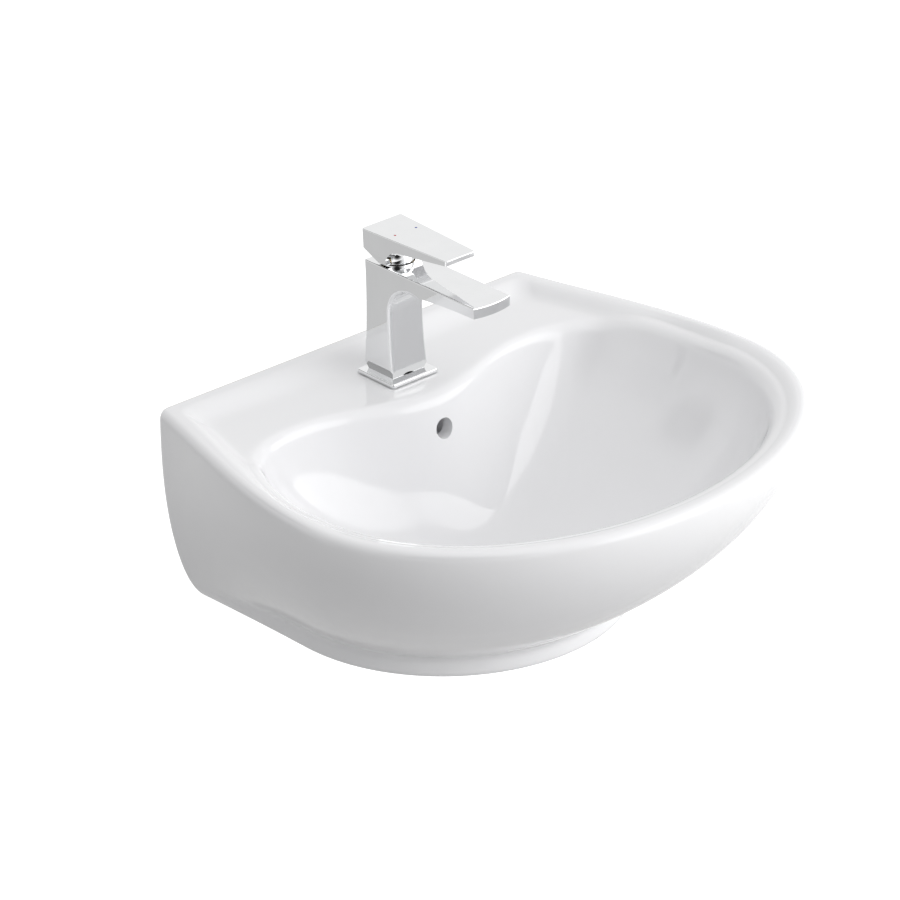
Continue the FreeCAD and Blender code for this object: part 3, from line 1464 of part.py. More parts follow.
def main():
    made = [basin(), click_spring()]
    made += [mark("hot_mark", "-1"), mark("cold_mark", "1")]
    turned = (
        tap_base_seal, tap_base_plate, tap_body,
        cartridge_seal, cartridge_housing, fixed_disc, moving_disc, disc_carrier,
        cartridge_rotor, cartridge_pin, cartridge_stem, cartridge_nut,
        lever, lever_ball, lever_grub_screw,
        aerator_housing, aerator_insert, aerator_seal,
        fixing_stud, horseshoe_seal, horseshoe_plate, fixing_nut,
        waste_top_seal, waste_body, waste_bottom_seal, waste_slip_washer, waste_lock_nut,
        plug_cap, plug_seal, plug_stem, click_housing,
    )
    made += [make() for make in turned]
    pieces = [item.body if isinstance(item, Piece) else item for item in made]
    doc.recompute()
    for item in doc.Objects:
        if "Invalid" in item.State or "Error" in item.State:
            raise RuntimeError(f"{item.Label} failed: {item.State}")
    for piece in pieces:
        shape = piece.Shape
        if shape.isNull() or not shape.isValid() or len(shape.Solids) != 1:
            raise RuntimeError(f"{piece.Label} is not one valid solid")
    os.makedirs("parts", exist_ok=True)
    for piece in pieces:
        piece.Shape.exportStep(os.path.join("parts", f"{piece.Label}.step"))
    print(len(pieces), "pieces written")


main()
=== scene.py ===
import json
import math
from types import SimpleNamespace

import bmesh
import bpy
from mathutils import Matrix, Vector


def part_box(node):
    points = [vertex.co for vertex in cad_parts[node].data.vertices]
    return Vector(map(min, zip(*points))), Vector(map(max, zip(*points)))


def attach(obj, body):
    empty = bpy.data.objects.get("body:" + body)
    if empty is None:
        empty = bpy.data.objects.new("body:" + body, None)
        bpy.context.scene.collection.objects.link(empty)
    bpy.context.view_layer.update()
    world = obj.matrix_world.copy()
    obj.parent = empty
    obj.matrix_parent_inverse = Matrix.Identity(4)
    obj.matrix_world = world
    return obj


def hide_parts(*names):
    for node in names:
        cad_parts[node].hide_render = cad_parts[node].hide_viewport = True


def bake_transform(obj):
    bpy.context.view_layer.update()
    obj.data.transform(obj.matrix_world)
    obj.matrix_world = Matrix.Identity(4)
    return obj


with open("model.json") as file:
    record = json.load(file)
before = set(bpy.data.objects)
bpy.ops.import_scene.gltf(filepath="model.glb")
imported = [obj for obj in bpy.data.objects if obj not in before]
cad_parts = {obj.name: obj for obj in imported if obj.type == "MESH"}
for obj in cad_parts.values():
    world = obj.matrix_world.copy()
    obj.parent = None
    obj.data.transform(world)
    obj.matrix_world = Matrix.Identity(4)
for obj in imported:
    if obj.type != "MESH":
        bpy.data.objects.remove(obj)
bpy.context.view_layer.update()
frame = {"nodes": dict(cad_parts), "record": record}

QUARTER = math.pi / 2
FULL_TURN = 4.0 * QUARTER
SIXTH = 2 * QUARTER / 3
ROOT_3 = math.sqrt(3.0)
SHARP = math.radians(38.0)  # edges that turn by more than this stay crisp
SEAM = 2e-6  # points nearer to each other than this become one


# Node trees, written as arithmetic


class Value:
    """A number that nodes work out. Plain arithmetic on it adds Math nodes to its tree."""

    def __init__(self, board, socket):
        self.board = board
        self.socket = socket

    def apply(self, operation, *others):
        return self.board.sum(operation, self, *others)

    def __add__(self, other):
        return self.apply("ADD", other)

    __radd__ = __add__

    def __sub__(self, other):
        return self.apply("SUBTRACT", other)

    def __rsub__(self, other):
        return self.board.sum("SUBTRACT", other, self)

    def __mul__(self, other):
        return self.apply("MULTIPLY", other)

    __rmul__ = __mul__

    def __truediv__(self, other):
        return self.apply("DIVIDE", other)

    def __rtruediv__(self, other):
        return self.board.sum("DIVIDE", other, self)

    def __pow__(self, other):
        return self.apply("POWER", other)

    def __neg__(self):
        return self.apply("MULTIPLY", -1.0)


class Board:
    """A node tree. Every node comes from add(): its type, its settings, then what its sockets take."""

    def __init__(self, tree):
        self.tree = tree

    def feed(self, socket, value):
        if isinstance(value, Value):
            self.tree.links.new(value.socket, socket)
        elif isinstance(value, bpy.types.NodeSocket):
            self.tree.links.new(value, socket)
        else:
            socket.default_value = value

    def add(self, kind, settings=None, sockets=None):
        node = self.tree.nodes.new(kind)
        for name, value in (settings or {}).items():
            setattr(node, name, value)
        for name, value in (sockets or {}).items():
            self.feed(node.inputs[name], value)
        return node

    def sum(self, operation, *terms):
        return self.value("ShaderNodeMath", {"operation": operation}, dict(enumerate(terms)))

    def value(self, kind, settings=None, sockets=None, output=0):
        return Value(self, self.add(kind, settings, sockets).outputs[output])


def add_object(name, data):
    """A new object in the scene."""
    made = bpy.data.objects.new(name, data)
    bpy.context.scene.collection.objects.link(made)
    return made


# Finishes

GLAZE_COOL = (0.866, 0.867, 0.884)
GLAZE_WARM = (0.881, 0.881, 0.890)
CLAY_PALE = (0.82, 0.80, 0.76)
CLAY_DARK = (0.75, 0.73, 0.69)
GLAZE_END = (-0.0016, -0.0004)  # between these places along y, the glaze gives way to bare clay
CHROME_DIM = (0.79, 0.795, 0.80)
CHROME_BRIGHT = (0.84, 0.845, 0.85)
BRASS_DARK = (0.67, 0.53, 0.31)
BRASS_PALE = (0.79, 0.67, 0.45)
STEEL_DARK = (0.50, 0.50, 0.51)
STEEL_PALE = (0.68, 0.68, 0.69)
ALUMINA_DARK = (0.86, 0.84, 0.78)
ALUMINA_PALE = (0.95, 0.94, 0.90)
PLASTIC_DARK = (0.80, 0.80, 0.79)
PLASTIC_PALE = (0.88, 0.88, 0.87)
RUBBER_BLACK = (0.022, 0.022, 0.024)
RUBBER_DUSTY = (0.06, 0.06, 0.062)
RED_DEEP = (0.50, 0.008, 0.02)
RED_LIGHT = (0.62, 0.015, 0.03)
BLUE_DEEP = (0.008, 0.03, 0.28)
BLUE_LIGHT = (0.015, 0.05, 0.38)


class Finish(Board):
    """A material: a Principled shader, with patterns on the piece's own coordinates."""

    def __init__(self, name, **constants):
        self.material = bpy.data.materials.new(name)
        self.material.use_nodes = True
        super().__init__(self.material.node_tree)
        self.shader = self.tree.nodes["Principled BSDF"]
        self.set(**constants)
        self.place = self.add("ShaderNodeTexCoord").outputs["Object"]

    def set(self, **sockets):
        for name, value in sockets.items():
            self.feed(self.shader.inputs[name.replace("_", " ")], value)

    def show(self, node):
        """Makes a shader node the material's surface, in place of the Principled shader."""
        self.feed(self.tree.nodes["Material Output"].inputs["Surface"], node.outputs[0])

    def noise(self, scale, detail, stretch=(1.0, 1.0, 1.0)):
        """Soft random values about a half, with features of about 1 / scale metres."""
        where = self.add("ShaderNodeMapping", None, {"Vector": self.place, "Scale": stretch}).outputs[0]
        return self.value("ShaderNodeTexNoise", None, {"Vector": where, "Scale": scale, "Detail": detail})

    def coordinate(self, axis):
        return self.value("ShaderNodeSeparateXYZ", None, {0: self.place}, axis)

    def ramp(self, value, low, high):
        """0 below low, 1 above high, smooth between."""
        return self.value(
            "ShaderNodeMapRange",
            {"interpolation_type": "SMOOTHSTEP"},
            {"Value": value, "From Min": low, "From Max": high},
        )

    def tint(self, share, first, second):
        """A colour between two, by a share. Each of the two is three numbers or another tint."""
        ends = [(*end, 1.0) if isinstance(end, tuple) else end for end in (first, second)]
        return self.add("ShaderNodeMix", {"data_type": "RGBA"}, {0: share, 6: ends[0], 7: ends[1]}).outputs[2]

    def bump(self, height, depth):
        node = self.add("ShaderNodeBump", None, {"Height": height, "Distance": depth})
        self.set(Normal=node.outputs[0])


def glaze_finish():
    """White glaze, rippled a little as it ran in the kiln, with bare clay on the wall side."""
    finish = Finish("white_glaze", IOR=1.52, Coat_Weight=0.1, Coat_Roughness=0.02, Coat_IOR=1.5)
    ripple = finish.noise(scale=38.0, detail=1.0)
    cloud = finish.noise(scale=7.0, detail=3.0)
    bare = finish.ramp(finish.coordinate(1), *GLAZE_END)
    white = finish.tint(cloud, GLAZE_COOL, GLAZE_WARM)
    clay = finish.tint(finish.noise(scale=420.0, detail=3.0), CLAY_PALE, CLAY_DARK)
    finish.set(Base_Color=finish.tint(bare, white, clay), Roughness=0.05 + 0.03 * cloud + 0.6 * bare)
    finish.bump(ripple, depth=0.00006)
    return finish.material


def chrome_finish():
    """Bright chrome with the faintest haze of wiping."""
    finish = Finish("chrome", Metallic=1.0, IOR=2.9)
    haze = finish.noise(scale=60.0, detail=4.0, stretch=(1.0, 1.0, 0.35))
    finish.set(
        Base_Color=finish.tint(haze, CHROME_DIM, CHROME_BRIGHT),
        Roughness=0.025 + 0.03 * finish.ramp(haze, low=0.45, high=0.75),
    )
    finish.bump(finish.noise(scale=900.0, detail=2.0), depth=0.000004)
    return finish.material


def brass_finish():
    """Turned brass with fine tool lines."""
    finish = Finish("turned_brass", Metallic=1.0)
    lines = finish.noise(scale=900.0, detail=2.0, stretch=(0.15, 0.15, 4.0))
    dull = finish.noise(scale=70.0, detail=4.0)
    finish.set(Base_Color=finish.tint(dull, BRASS_DARK, BRASS_PALE), Roughness=0.2 + 0.2 * dull)
    finish.bump(lines, depth=0.00003)
    return finish.material


def steel_finish():
    """Plated steel, drawn along its length."""
    finish = Finish("plated_steel", Metallic=1.0)
    grain = finish.noise(scale=800.0, detail=3.0, stretch=(1.0, 1.0, 0.12))
    finish.set(Base_Color=finish.tint(grain, STEEL_DARK, STEEL_PALE), Roughness=0.22 + 0.2 * grain)
    finish.bump(grain, depth=0.00002)
    return finish.material


def disc_finish():
    """Lapped alumina: a dense, pale, faintly speckled ceramic."""
    finish = Finish("lapped_alumina", IOR=1.7)
    speck = finish.noise(scale=1600.0, detail=3.0)
    finish.set(Base_Color=finish.tint(speck, ALUMINA_DARK, ALUMINA_PALE), Roughness=0.16 + 0.12 * speck)
    return finish.material


def plastic_finish():
    """Moulded plastic with a fine spark-eroded grain."""
    finish = Finish("moulded_plastic", IOR=1.46)
    grain = finish.noise(scale=1400.0, detail=2.0)
    cloud = finish.noise(scale=40.0, detail=3.0)
    finish.set(Base_Color=finish.tint(cloud, PLASTIC_DARK, PLASTIC_PALE), Roughness=0.38 + 0.15 * grain)
    finish.bump(grain, depth=0.00003)
    return finish.material


def seal_finish():
    """Black moulded rubber with a dusty bloom."""
    finish = Finish("black_rubber", IOR=1.5)
    bloom = finish.noise(scale=90.0, detail=4.0)
    grain = finish.noise(scale=1500.0, detail=2.0)
    finish.set(Base_Color=finish.tint(bloom, RUBBER_BLACK, RUBBER_DUSTY), Roughness=0.6 + 0.2 * bloom)
    finish.bump(grain, depth=0.00003)
    return finish.material


def enamel_finish(name, deep, light):
    """A drop of glossy enamel."""
    finish = Finish(name, IOR=1.5, Coat_Weight=0.15, Coat_Roughness=0.05)
    cloud = finish.noise(scale=700.0, detail=2.0)
    finish.set(Base_Color=finish.tint(cloud, deep, light), Roughness=0.2 + 0.1 * cloud)
    return finish.material


FINISHES = {
    "glaze": glaze_finish(),
    "chrome": chrome_finish(),
    "brass": brass_finish(),
    "steel": steel_finish(),
    "alumina": disc_finish(),
    "white_plastic": plastic_finish(),
    "seal": seal_finish(),
    "hot": enamel_finish("red_enamel", RED_DEEP, RED_LIGHT),
    "cold": enamel_finish("blue_enamel", BLUE_DEEP, BLUE_LIGHT),
}


def dress_nodes():
    """Gives every solid of the frame the finish of its slot."""
    for part in frame["record"]["subparts"]:
        node = frame["nodes"][part["node"]]
        node.data.materials.clear()
        node.data.materials.append(FINISHES[part["material_slot"]])


dress_nodes()


# Meshes and shapes


def outward(mesh):
    """The same mesh with its faces turned outwards."""
    shape = bmesh.new()
    shape.from_mesh(mesh)
    bmesh.ops.recalc_face_normals(shape, faces=shape.faces)
    shape.to_mesh(mesh)
    shape.free()
    return mesh


def smooth(mesh):
    """The same mesh, shaded smooth between its crisp edges."""
    mesh.shade_smooth()
    mesh.set_sharp_from_angle(angle=SHARP)
    return mesh


def solid_from(name, slot, build):
    """A plain closed mesh from a function that fills a bmesh."""
    shape = bmesh.new()
    build(shape)
    bmesh.ops.recalc_face_normals(shape, faces=shape.faces)
    mesh = bpy.data.meshes.new(name)
    shape.to_mesh(mesh)
    shape.free()
    mesh.materials.append(FINISHES[slot])
    return mesh


def place_piece(name, mesh, body, slot, *nodes):
    """Puts a mesh in the scene, on its body if it has just one, for the solids that it stands for."""
    mesh.name = name
    piece = add_object(name, mesh)
    if body:
        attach(piece, body)
    if nodes:
        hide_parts(*nodes)
    return piece


class Shape(Board):
    """A Geometry Nodes tree with named sizes, turned into a plain mesh at the end."""

    def __init__(self, name, sizes):
        super().__init__(bpy.data.node_groups.new(name, "GeometryNodeTree"))
        self.sizes = sizes
        self.keys = {}
        for title in sizes:
            label = title.replace("_", " ")
            socket = self.tree.interface.new_socket(label, in_out="INPUT", socket_type="NodeSocketFloat")
            self.keys[title] = socket.identifier
        self.tree.interface.new_socket("Geometry", in_out="OUTPUT", socket_type="NodeSocketGeometry")
        self.entry = self.add("NodeGroupInput")
        self.exit = self.add("NodeGroupOutput")

    def size(self, title):
        return Value(self, self.entry.outputs[title.replace("_", " ")])

    def least(self, first, second):
        return self.sum("MINIMUM", first, second)

    def most(self, first, second):
        return self.sum("MAXIMUM", first, second)

    def part(self, value, start, end):
        """How far a value has gone from start to end, kept within 0 and 1."""
        return self.most(self.least((value - start) / (end - start), 1.0), 0.0)

    def mix(self, start, end, share):
        return start + (end - start) * share

    def sine(self, value):
        return self.sum("SINE", value)

    def cosine(self, value):
        return self.sum("COSINE", value)

    def length(self, x, y):
        return (x * x + y * y) ** 0.5

    def point(self, x, y, z):
        return self.add("ShaderNodeCombineXYZ", None, {0: x, 1: y, 2: z}).outputs[0]

    def spot(self):
        """Where each point of a sheet lies along x and y."""
        parts = self.add("ShaderNodeSeparateXYZ", None, {0: self.add("GeometryNodeInputPosition").outputs[0]})
        return Value(self, parts.outputs[0]), Value(self, parts.outputs[1])

    def grid(self, columns, rows, wide=1.0, deep=1.0):
        """A flat sheet about the origin."""
        sockets = {"Size X": wide, "Size Y": deep, "Vertices X": columns + 1, "Vertices Y": rows + 1}
        return self.add("GeometryNodeMeshGrid", None, sockets).outputs["Mesh"]

    def sewn(self, sheet, x, y, z):
        """A sheet with its points moved into place and the edges that meet made one."""
        sockets = {"Geometry": sheet, "Position": self.point(x, y, z)}
        moved = self.add("GeometryNodeSetPosition", None, sockets).outputs[0]
        return self.add("GeometryNodeMergeByDistance", None, {"Geometry": moved, "Distance": SEAM}).outputs[0]

    def circle(self, sides, radius):
        sockets = {"Resolution": sides, "Radius": radius}
        return self.add("GeometryNodeCurvePrimitiveCircle", None, sockets).outputs[0]

    def sweep(self, path, section, caps=False):
        """A section drawn along a path."""
        sockets = {"Curve": path, "Profile Curve": section, "Fill Caps": caps}
        return self.add("GeometryNodeCurveToMesh", None, sockets).outputs[0]

    def move(self, geometry, **change):
        return self.add("GeometryNodeTransform", None, {"Geometry": geometry, **change}).outputs[0]

    def join(self, *pieces):
        node = self.add("GeometryNodeJoinGeometry")
        for piece in pieces:
            self.feed(node.inputs[0], piece)
        return node.outputs[0]

    def mesh(self, geometry, slot, **changes):
        """The tree's result as a plain mesh, with some of its sizes changed."""
        real = self.add("GeometryNodeRealizeInstances", None, {"Geometry": geometry}).outputs[0]
        sockets = {"Geometry": real, "Material": FINISHES[slot]}
        self.feed(self.exit.inputs[0], self.add("GeometryNodeSetMaterial", None, sockets).outputs[0])
        holder = add_object(self.tree.name, bpy.data.meshes.new(self.tree.name))
        modifier = holder.modifiers.new("shape", "NODES")
        modifier.node_group = self.tree
        for title, size in {**self.sizes, **changes}.items():
            modifier[self.keys[title]] = size
        seen = holder.evaluated_get(bpy.context.evaluated_depsgraph_get())
        made = bpy.data.meshes.new_from_object(seen)
        bpy.data.objects.remove(holder)
        return outward(made)


# Ceramic basin: one rule gives the outside, the deck and the bowl

DRAIN_Y = -0.214
TAP_Y = -0.0645
BOWL_WALL = 0.011
BACK_WALL = 0.012
BASIN_SIZES = {
    "rim_width": 0.5,
    "rim_depth": 0.417,
    "rim_widest": 0.230,
    "wall_edge": 0.4048,
    "foot_width": 0.316,
    "foot_depth": 0.279,
    "foot_widest": 0.126,
    "foot_wall": 0.318,
    "rim_z": 0.110,
    "bowl_drop": 0.167,
    "foot_height": 0.019,
    "rim_roll": 0.007,
    "foot_roll": 0.004,
    "crest_inset": 0.009,
    "crest_corner": 0.014,
    "deck_drop": 0.009,
    "deck_ramp": 0.026,
    "deck_front": 0.079,
    "deck_bulge": 0.026,
    "scallop": 0.130,
    "opening_side": 0.020,
    "opening_front": 0.015,
    "opening_widest": 0.225,
    "shoulder": 0.014,
    "bowl_depth": 0.131,
    "drain_y": DRAIN_Y,
    "floor_radius": 0.028,
    "boss_radius": 0.037,
    "boss_z": -0.042,
    "offset": BOWL_WALL,
    "back": 0.0,
    "inset": 0.011,
    "roof": 0.022,
}

# Columns of a sheet go round the plan. From the middle of the back, at 0, to the nose, at 1, the shares
# give the places where the back, the corner and the side end.
COLUMNS = 200
BACK_SHARE = 0.30
CORNER_SHARE = 0.36
SIDE_SHARE = 0.62
CORNER_PART = 0.11  # the corner's part of the side's curve
CORNER_POWER = 0.8  # below 1, the opening's back corners are fuller than an ellipse's

# Middle points of the side's curves, as shares of the way along them
SIDE_SPREAD = 0.33
SIDE_START, SIDE_END = 0.3, 0.65
CREST_START, CREST_END = 0.28, 0.62

# How the outside and the bowl fall
BELLY_POWER = 1.9
CREASE = 0.007
CREASE_SOFTNESS = 0.045
WALL_FALL = ((0.8, 2.6), (0.2, 14.0))  # two shares of the wall edge's fall, each with its power
BOWL_POWER = 1.9
BOWL_START = 0.97
BOWL_LEAD = (1.0 - BOWL_START**BOWL_POWER) ** (1.0 / BOWL_POWER)
START_SLOPE = (BOWL_START / BOWL_LEAD) ** (BOWL_POWER - 1.0) * BOWL_START / (1.0 - BOWL_LEAD)
NUDGE = 0.02  # the slope of the bowl is taken over this share to each side

# Rows of each run of a sheet, and the powers that crowd rows together where the sheet bends most
GLAZE_ROWS = {
    "sole": 2,
    "foot_edge": 3,
    "foot": 4,
    "crease": 3,
    "belly": 26,
    "rim_edge": 5,
    "rim_top": 3,
    "deck": 10,
    "shoulder": 5,
    "bowl": 18,
    "drain": 2,
}
MOULD_ROWS = {"top": 2, "rise": 2, "wall": 16, "boss": 2, "under": 2}
HOLLOW_ROWS = {"top": 2, "wall": 16, "under": 2}
BELLY_CROWD = 1.25
DECK_CROWD = 1.4
BOWL_CROWD = 1.7

# The overflow's rib and the duct in it: how far out from the bowl they reach, and the corners that bound them
OVERFLOW_FRONT = DRAIN_Y + 0.016
OVERFLOW_REAR = -0.05
RIB_OUT = 0.032
RIB_BOX = ((-0.020, OVERFLOW_FRONT, -0.042), (0.020, OVERFLOW_REAR, 0.0945))
DUCT_OUT = 0.024
DUCT_BOX = ((-0.012, OVERFLOW_FRONT, -0.0365), (0.012, OVERFLOW_REAR, 0.0835))

# Round holes: radius, both ends of the axis, and the cutter's sides
HOLES = {
    "waste_seat": (0.0325, (0.0, DRAIN_Y, 0.02), (0.0, DRAIN_Y, -0.024), 96),
    "waste": (0.023, (0.0, DRAIN_Y, 0.0), (0.0, DRAIN_Y, -0.06), 96),
    "tap": (0.0175, (0.0, TAP_Y, 0.2), (0.0, TAP_Y, 0.06), 96),
    "overflow": (0.0088, (0.0, -0.16, 0.0705), (0.0, -0.1015, 0.0705), 64),
    "left_bolt": (0.008, (-0.14, -0.03, 0.0), (-0.14, 0.03, 0.0), 48),
    "right_bolt": (0.008, (0.14, -0.03, 0.0), (0.14, 0.03, 0.0), 48),
}
SERVICE_OPENING = {
    "half_width": 0.070,
    "low": -0.12,
    "high": 0.020,
    "radius": 0.030,
    "front": -0.018,
    "rear": 0.02,
}
ARCH_STEPS = 12


class BasinShape(Shape):
    """The rules that the basin's surfaces share. A sheet's rows are told apart in runs, each with a name."""

    def __init__(self, name, runs):
        super().__init__(name, BASIN_SIZES)
        x, y = self.spot()
        across = x + 0.5
        share = 1.0 - self.sum("ABSOLUTE", 1.0 - across * 2.0)
        self.side = self.sum("SIGN", 0.5 - across)
        self.rear = self.part(share, 0.0, BACK_SHARE)
        self.corner = self.part(share, BACK_SHARE, CORNER_SHARE)
        self.cheek = self.part(share, CORNER_SHARE, SIDE_SHARE)
        self.flank = self.corner * CORNER_PART + self.cheek * (1.0 - CORNER_PART)
        nose = self.part(share, SIDE_SHARE, 1.0) * QUARTER
        self.nose_in = self.cosine(nose) - 1.0
        self.nose_out = self.sine(nose)
        self.rows = sum(runs.values())
        self.gone = {}
        row = (y + 0.5) * self.rows
        start = 0
        for run, count in runs.items():
            self.gone[run] = self.part(row, start, start + count)
            start += count

    def arc(self, start, first, second, end, share):
        """A curve from start to end that leaves and arrives along its two middle points."""
        left = 1.0 - share
        return left * left * (start * left + first * share * 3.0) + share * share * (
            second * left * 3.0 + end * share
        )

    def outside(self, depth, inset):
        """The outside at a depth below the rim, drawn in by an inset."""
        sunk = self.sum("SMOOTH_MIN", depth / self.size("bowl_drop"), 1.0, CREASE_SOFTNESS)
        belly = sunk**BELLY_POWER
        half = self.mix(self.size("rim_width") / 2, self.size("foot_width") / 2, belly) - inset
        widest = self.mix(self.size("rim_widest"), self.size("foot_widest"), belly)
        front = self.mix(self.size("rim_depth"), self.size("foot_depth"), belly) - widest - inset
        reach = depth / (self.size("bowl_drop") + self.size("foot_height"))
        fall = (self.size("wall_edge") - self.size("foot_wall")) / 2
        (early, early_power), (late, late_power) = WALL_FALL
        fallen = fall * (early * reach**early_power + late * reach**late_power)
        wall = self.size("wall_edge") / 2 - fallen - inset
        back = -self.size("back")
        first, second = self.mix(back, -widest, SIDE_START), self.mix(back, -widest, SIDE_END)
        x = self.arc(wall, self.mix(wall, half, SIDE_SPREAD), half, half, self.flank) - wall
        y = self.arc(back, first, second, -widest, self.flank)
        return wall * self.rear + x + half * self.nose_in, y - front * self.nose_out

    def crest(self):
        """The ridge of the rim."""
        inset = self.size("crest_inset")
        corner = self.size("crest_corner")
        half = self.size("rim_width") / 2 - inset
        widest = self.size("rim_widest")
        front = self.size("rim_depth") - widest - inset
        wall = self.size("wall_edge") / 2 - inset
        bend = self.corner * QUARTER
        top = -inset - corner
        first, second = self.mix(top, -widest, CREST_START), self.mix(top, -widest, CREST_END)
        x = self.arc(wall, self.mix(wall, half, SIDE_SPREAD), half, half, self.cheek) - wall
        y = self.arc(top, first, second, -widest, self.cheek) - top
        return (
            (wall - corner) * self.rear + corner * self.sine(bend) + x + half * self.nose_in,
            y - inset - corner * (1.0 - self.cosine(bend)) - front * self.nose_out,
        )

    def lip(self):
        """Where deck and rim start to roll into the bowl: scalloped at the back, elliptic at the front."""
        scallop = self.size("scallop")
        widest = self.size("opening_widest")
        half = self.size("rim_width") / 2 - self.size("opening_side")
        front = self.size("rim_depth") - self.size("opening_front") - widest
        turn = self.flank * QUARTER
        out = self.most(self.sine(turn), 0.0) ** CORNER_POWER
        stay = self.most(self.cosine(turn), 0.0) ** CORNER_POWER
        swell = (self.cosine(self.rear * math.pi) + 1.0) / 2
        return (
            scallop * self.rear + (half - scallop) * out + half * self.nose_in,
            (widest - self.size("deck_front")) * stay - widest - self.size("deck_bulge") * swell
            - front * self.nose_out,
        )

    def ramp_drop(self, gone):
        """How far the deck lies below the rim at a distance from the crest."""
        run = self.least(gone / self.size("deck_ramp"), 1.0)
        return self.size("deck_drop") * run * run * (3.0 - run * 2.0)

    def fall(self, step):
        """The share of the bowl's depth that is gone at a share of the way to the drain."""
        left = self.most(1.0 - step, 0.0) * BOWL_START
        return ((1.0 - left**BOWL_POWER) ** (1.0 / BOWL_POWER) - BOWL_LEAD) / (1.0 - BOWL_LEAD)

    def bowl_start(self):
        """Lip and crest, the width between them, the level way to the drain, the shoulder's turn, and then
        the run that is left to the bowl's floor and the depth that is used."""
        lip_x, lip_y = self.lip()
        crest_x, crest_y = self.crest()
        away = self.size("drain_y") - lip_y
        far = self.length(lip_x, away)
        wide = self.length(lip_x - crest_x, lip_y - crest_y)
        shoulder = self.size("shoulder")
        room = far - self.size("floor_radius")
        steep = (self.size("bowl_depth") - self.size("deck_drop") - shoulder) / (room - shoulder)
        turn = self.sum("ARCTANGENT", steep * START_SLOPE)
        return SimpleNamespace(
            lip=(lip_x, lip_y),
            crest=(crest_x, crest_y),
            wide=wide,
            way=(-lip_x / far, away / far),
            turn=turn,
            run=room - shoulder * self.sine(turn),
            used=self.ramp_drop(wide) + shoulder * (1.0 - self.cosine(turn)),
        )

    def finished(self, x, y, z):
        """The sheet by the rule, sewn and smoothed."""
        sheet = self.sewn(self.grid(COLUMNS, self.rows), x * self.side, y, z)
        return self.add("GeometryNodeSubdivisionSurface", None, {"Mesh": sheet, "Level": 1}).outputs[0]


def glazed_body():
    """The ceramic as if it were solid: from under the foot up the outside, over rim and deck, to the drain."""
    basin = BasinShape("basin_glaze", GLAZE_ROWS)
    gone = basin.gone
    rim_roll = basin.size("rim_roll")
    foot_roll = basin.size("foot_roll")
    foot_turn = gone["foot_edge"] * QUARTER
    rim_turn = gone["rim_edge"] * QUARTER
    depth = (
        basin.size("foot_height")
        + basin.size("bowl_drop")
        - foot_roll * (1.0 - basin.cosine(foot_turn))
        - (basin.size("foot_height") - foot_roll - CREASE) * gone["foot"]
        - CREASE * gone["crease"]
        - (basin.size("bowl_drop") - rim_roll) * gone["belly"] ** BELLY_CROWD
        - rim_roll * basin.sine(rim_turn)
    )
    inset = foot_roll * (1.0 - basin.sine(foot_turn)) + rim_roll * (1.0 - basin.cosine(rim_turn))
    x, y = basin.outside(depth, inset)
    bowl = basin.bowl_start()
    drain = basin.size("drain_y")
    x = basin.mix(x * gone["sole"], bowl.crest[0], gone["rim_top"])
    y = basin.mix(basin.mix(drain / 2, y, gone["sole"]), bowl.crest[1], gone["rim_top"])
    step = gone["deck"] ** DECK_CROWD
    turn = bowl.turn * gone["shoulder"]
    sink = gone["bowl"] ** BOWL_CROWD
    reach = basin.size("shoulder") * basin.sine(turn) + bowl.run * sink
    x = (basin.mix(x, bowl.lip[0], step) + bowl.way[0] * reach) * (1.0 - gone["drain"])
    y = basin.mix(basin.mix(y, bowl.lip[1], step) + bowl.way[1] * reach, drain, gone["drain"])
    z = (
        basin.size("rim_z")
        - depth
        - basin.ramp_drop(bowl.wide * step)
        - basin.size("shoulder") * (1.0 - basin.cosine(turn))
        - (basin.size("bowl_depth") - bowl.used) * basin.fall(sink)
    )
    return basin.mesh(basin.finished(x, y, z), "glaze")


def bowl_mould(thickness):
    """The bowl moved out by a thickness, filled up to the deck, with the boss round the drain."""
    basin = BasinShape("bowl_mould", MOULD_ROWS)
    gone = basin.gone
    bowl = basin.bowl_start()
    sink = gone["wall"] ** BOWL_CROWD
    ahead = basin.least(sink + NUDGE, 1.0)
    behind = basin.most(sink - NUDGE, 0.0)
    deep = basin.size("bowl_depth") - bowl.used
    level = bowl.run * (ahead - behind)
    steep = deep * (basin.fall(ahead) - basin.fall(behind))
    slope = basin.length(level, steep)
    out = basin.size("offset")
    reach = basin.size("shoulder") * basin.sine(bowl.turn) + bowl.run * sink - out * steep / slope
    z = basin.size("rim_z") - bowl.used - deep * basin.fall(sink) - out * level / slope
    drain = basin.size("drain_y")
    boss = basin.size("boss_radius")
    x = basin.mix(bowl.lip[0] + bowl.way[0] * reach, bowl.way[0] * -boss, gone["boss"])
    y = basin.mix(bowl.lip[1] + bowl.way[1] * reach, drain - bowl.way[1] * boss, gone["boss"])
    open_share = gone["top"] * (1.0 - gone["under"])
    z = basin.mix(basin.size("rim_z") - basin.size("deck_drop"), z, gone["rise"])
    z = basin.mix(z, basin.size("boss_z"), gone["boss"])
    made = basin.finished(x * open_share, basin.mix(drain, y, open_share), z)
    return basin.mesh(made, "glaze", offset=thickness)


def hollow_mould():
    """The space under the basin before the bowl takes its room."""
    basin = BasinShape("hollow_mould", HOLLOW_ROWS)
    gone = basin.gone
    inset = basin.size("inset")
    total = basin.size("bowl_drop") + basin.size("foot_height") + inset
    depth = basin.mix(basin.size("roof"), total, gone["wall"])
    x, y = basin.outside(depth, inset)
    open_share = gone["top"] * (1.0 - gone["under"])
    middle = basin.size("drain_y") / 2
    made = basin.finished(x * open_share, basin.mix(middle, y, open_share), basin.size("rim_z") - depth)
    return basin.mesh(made, "glaze", back=BACK_WALL)


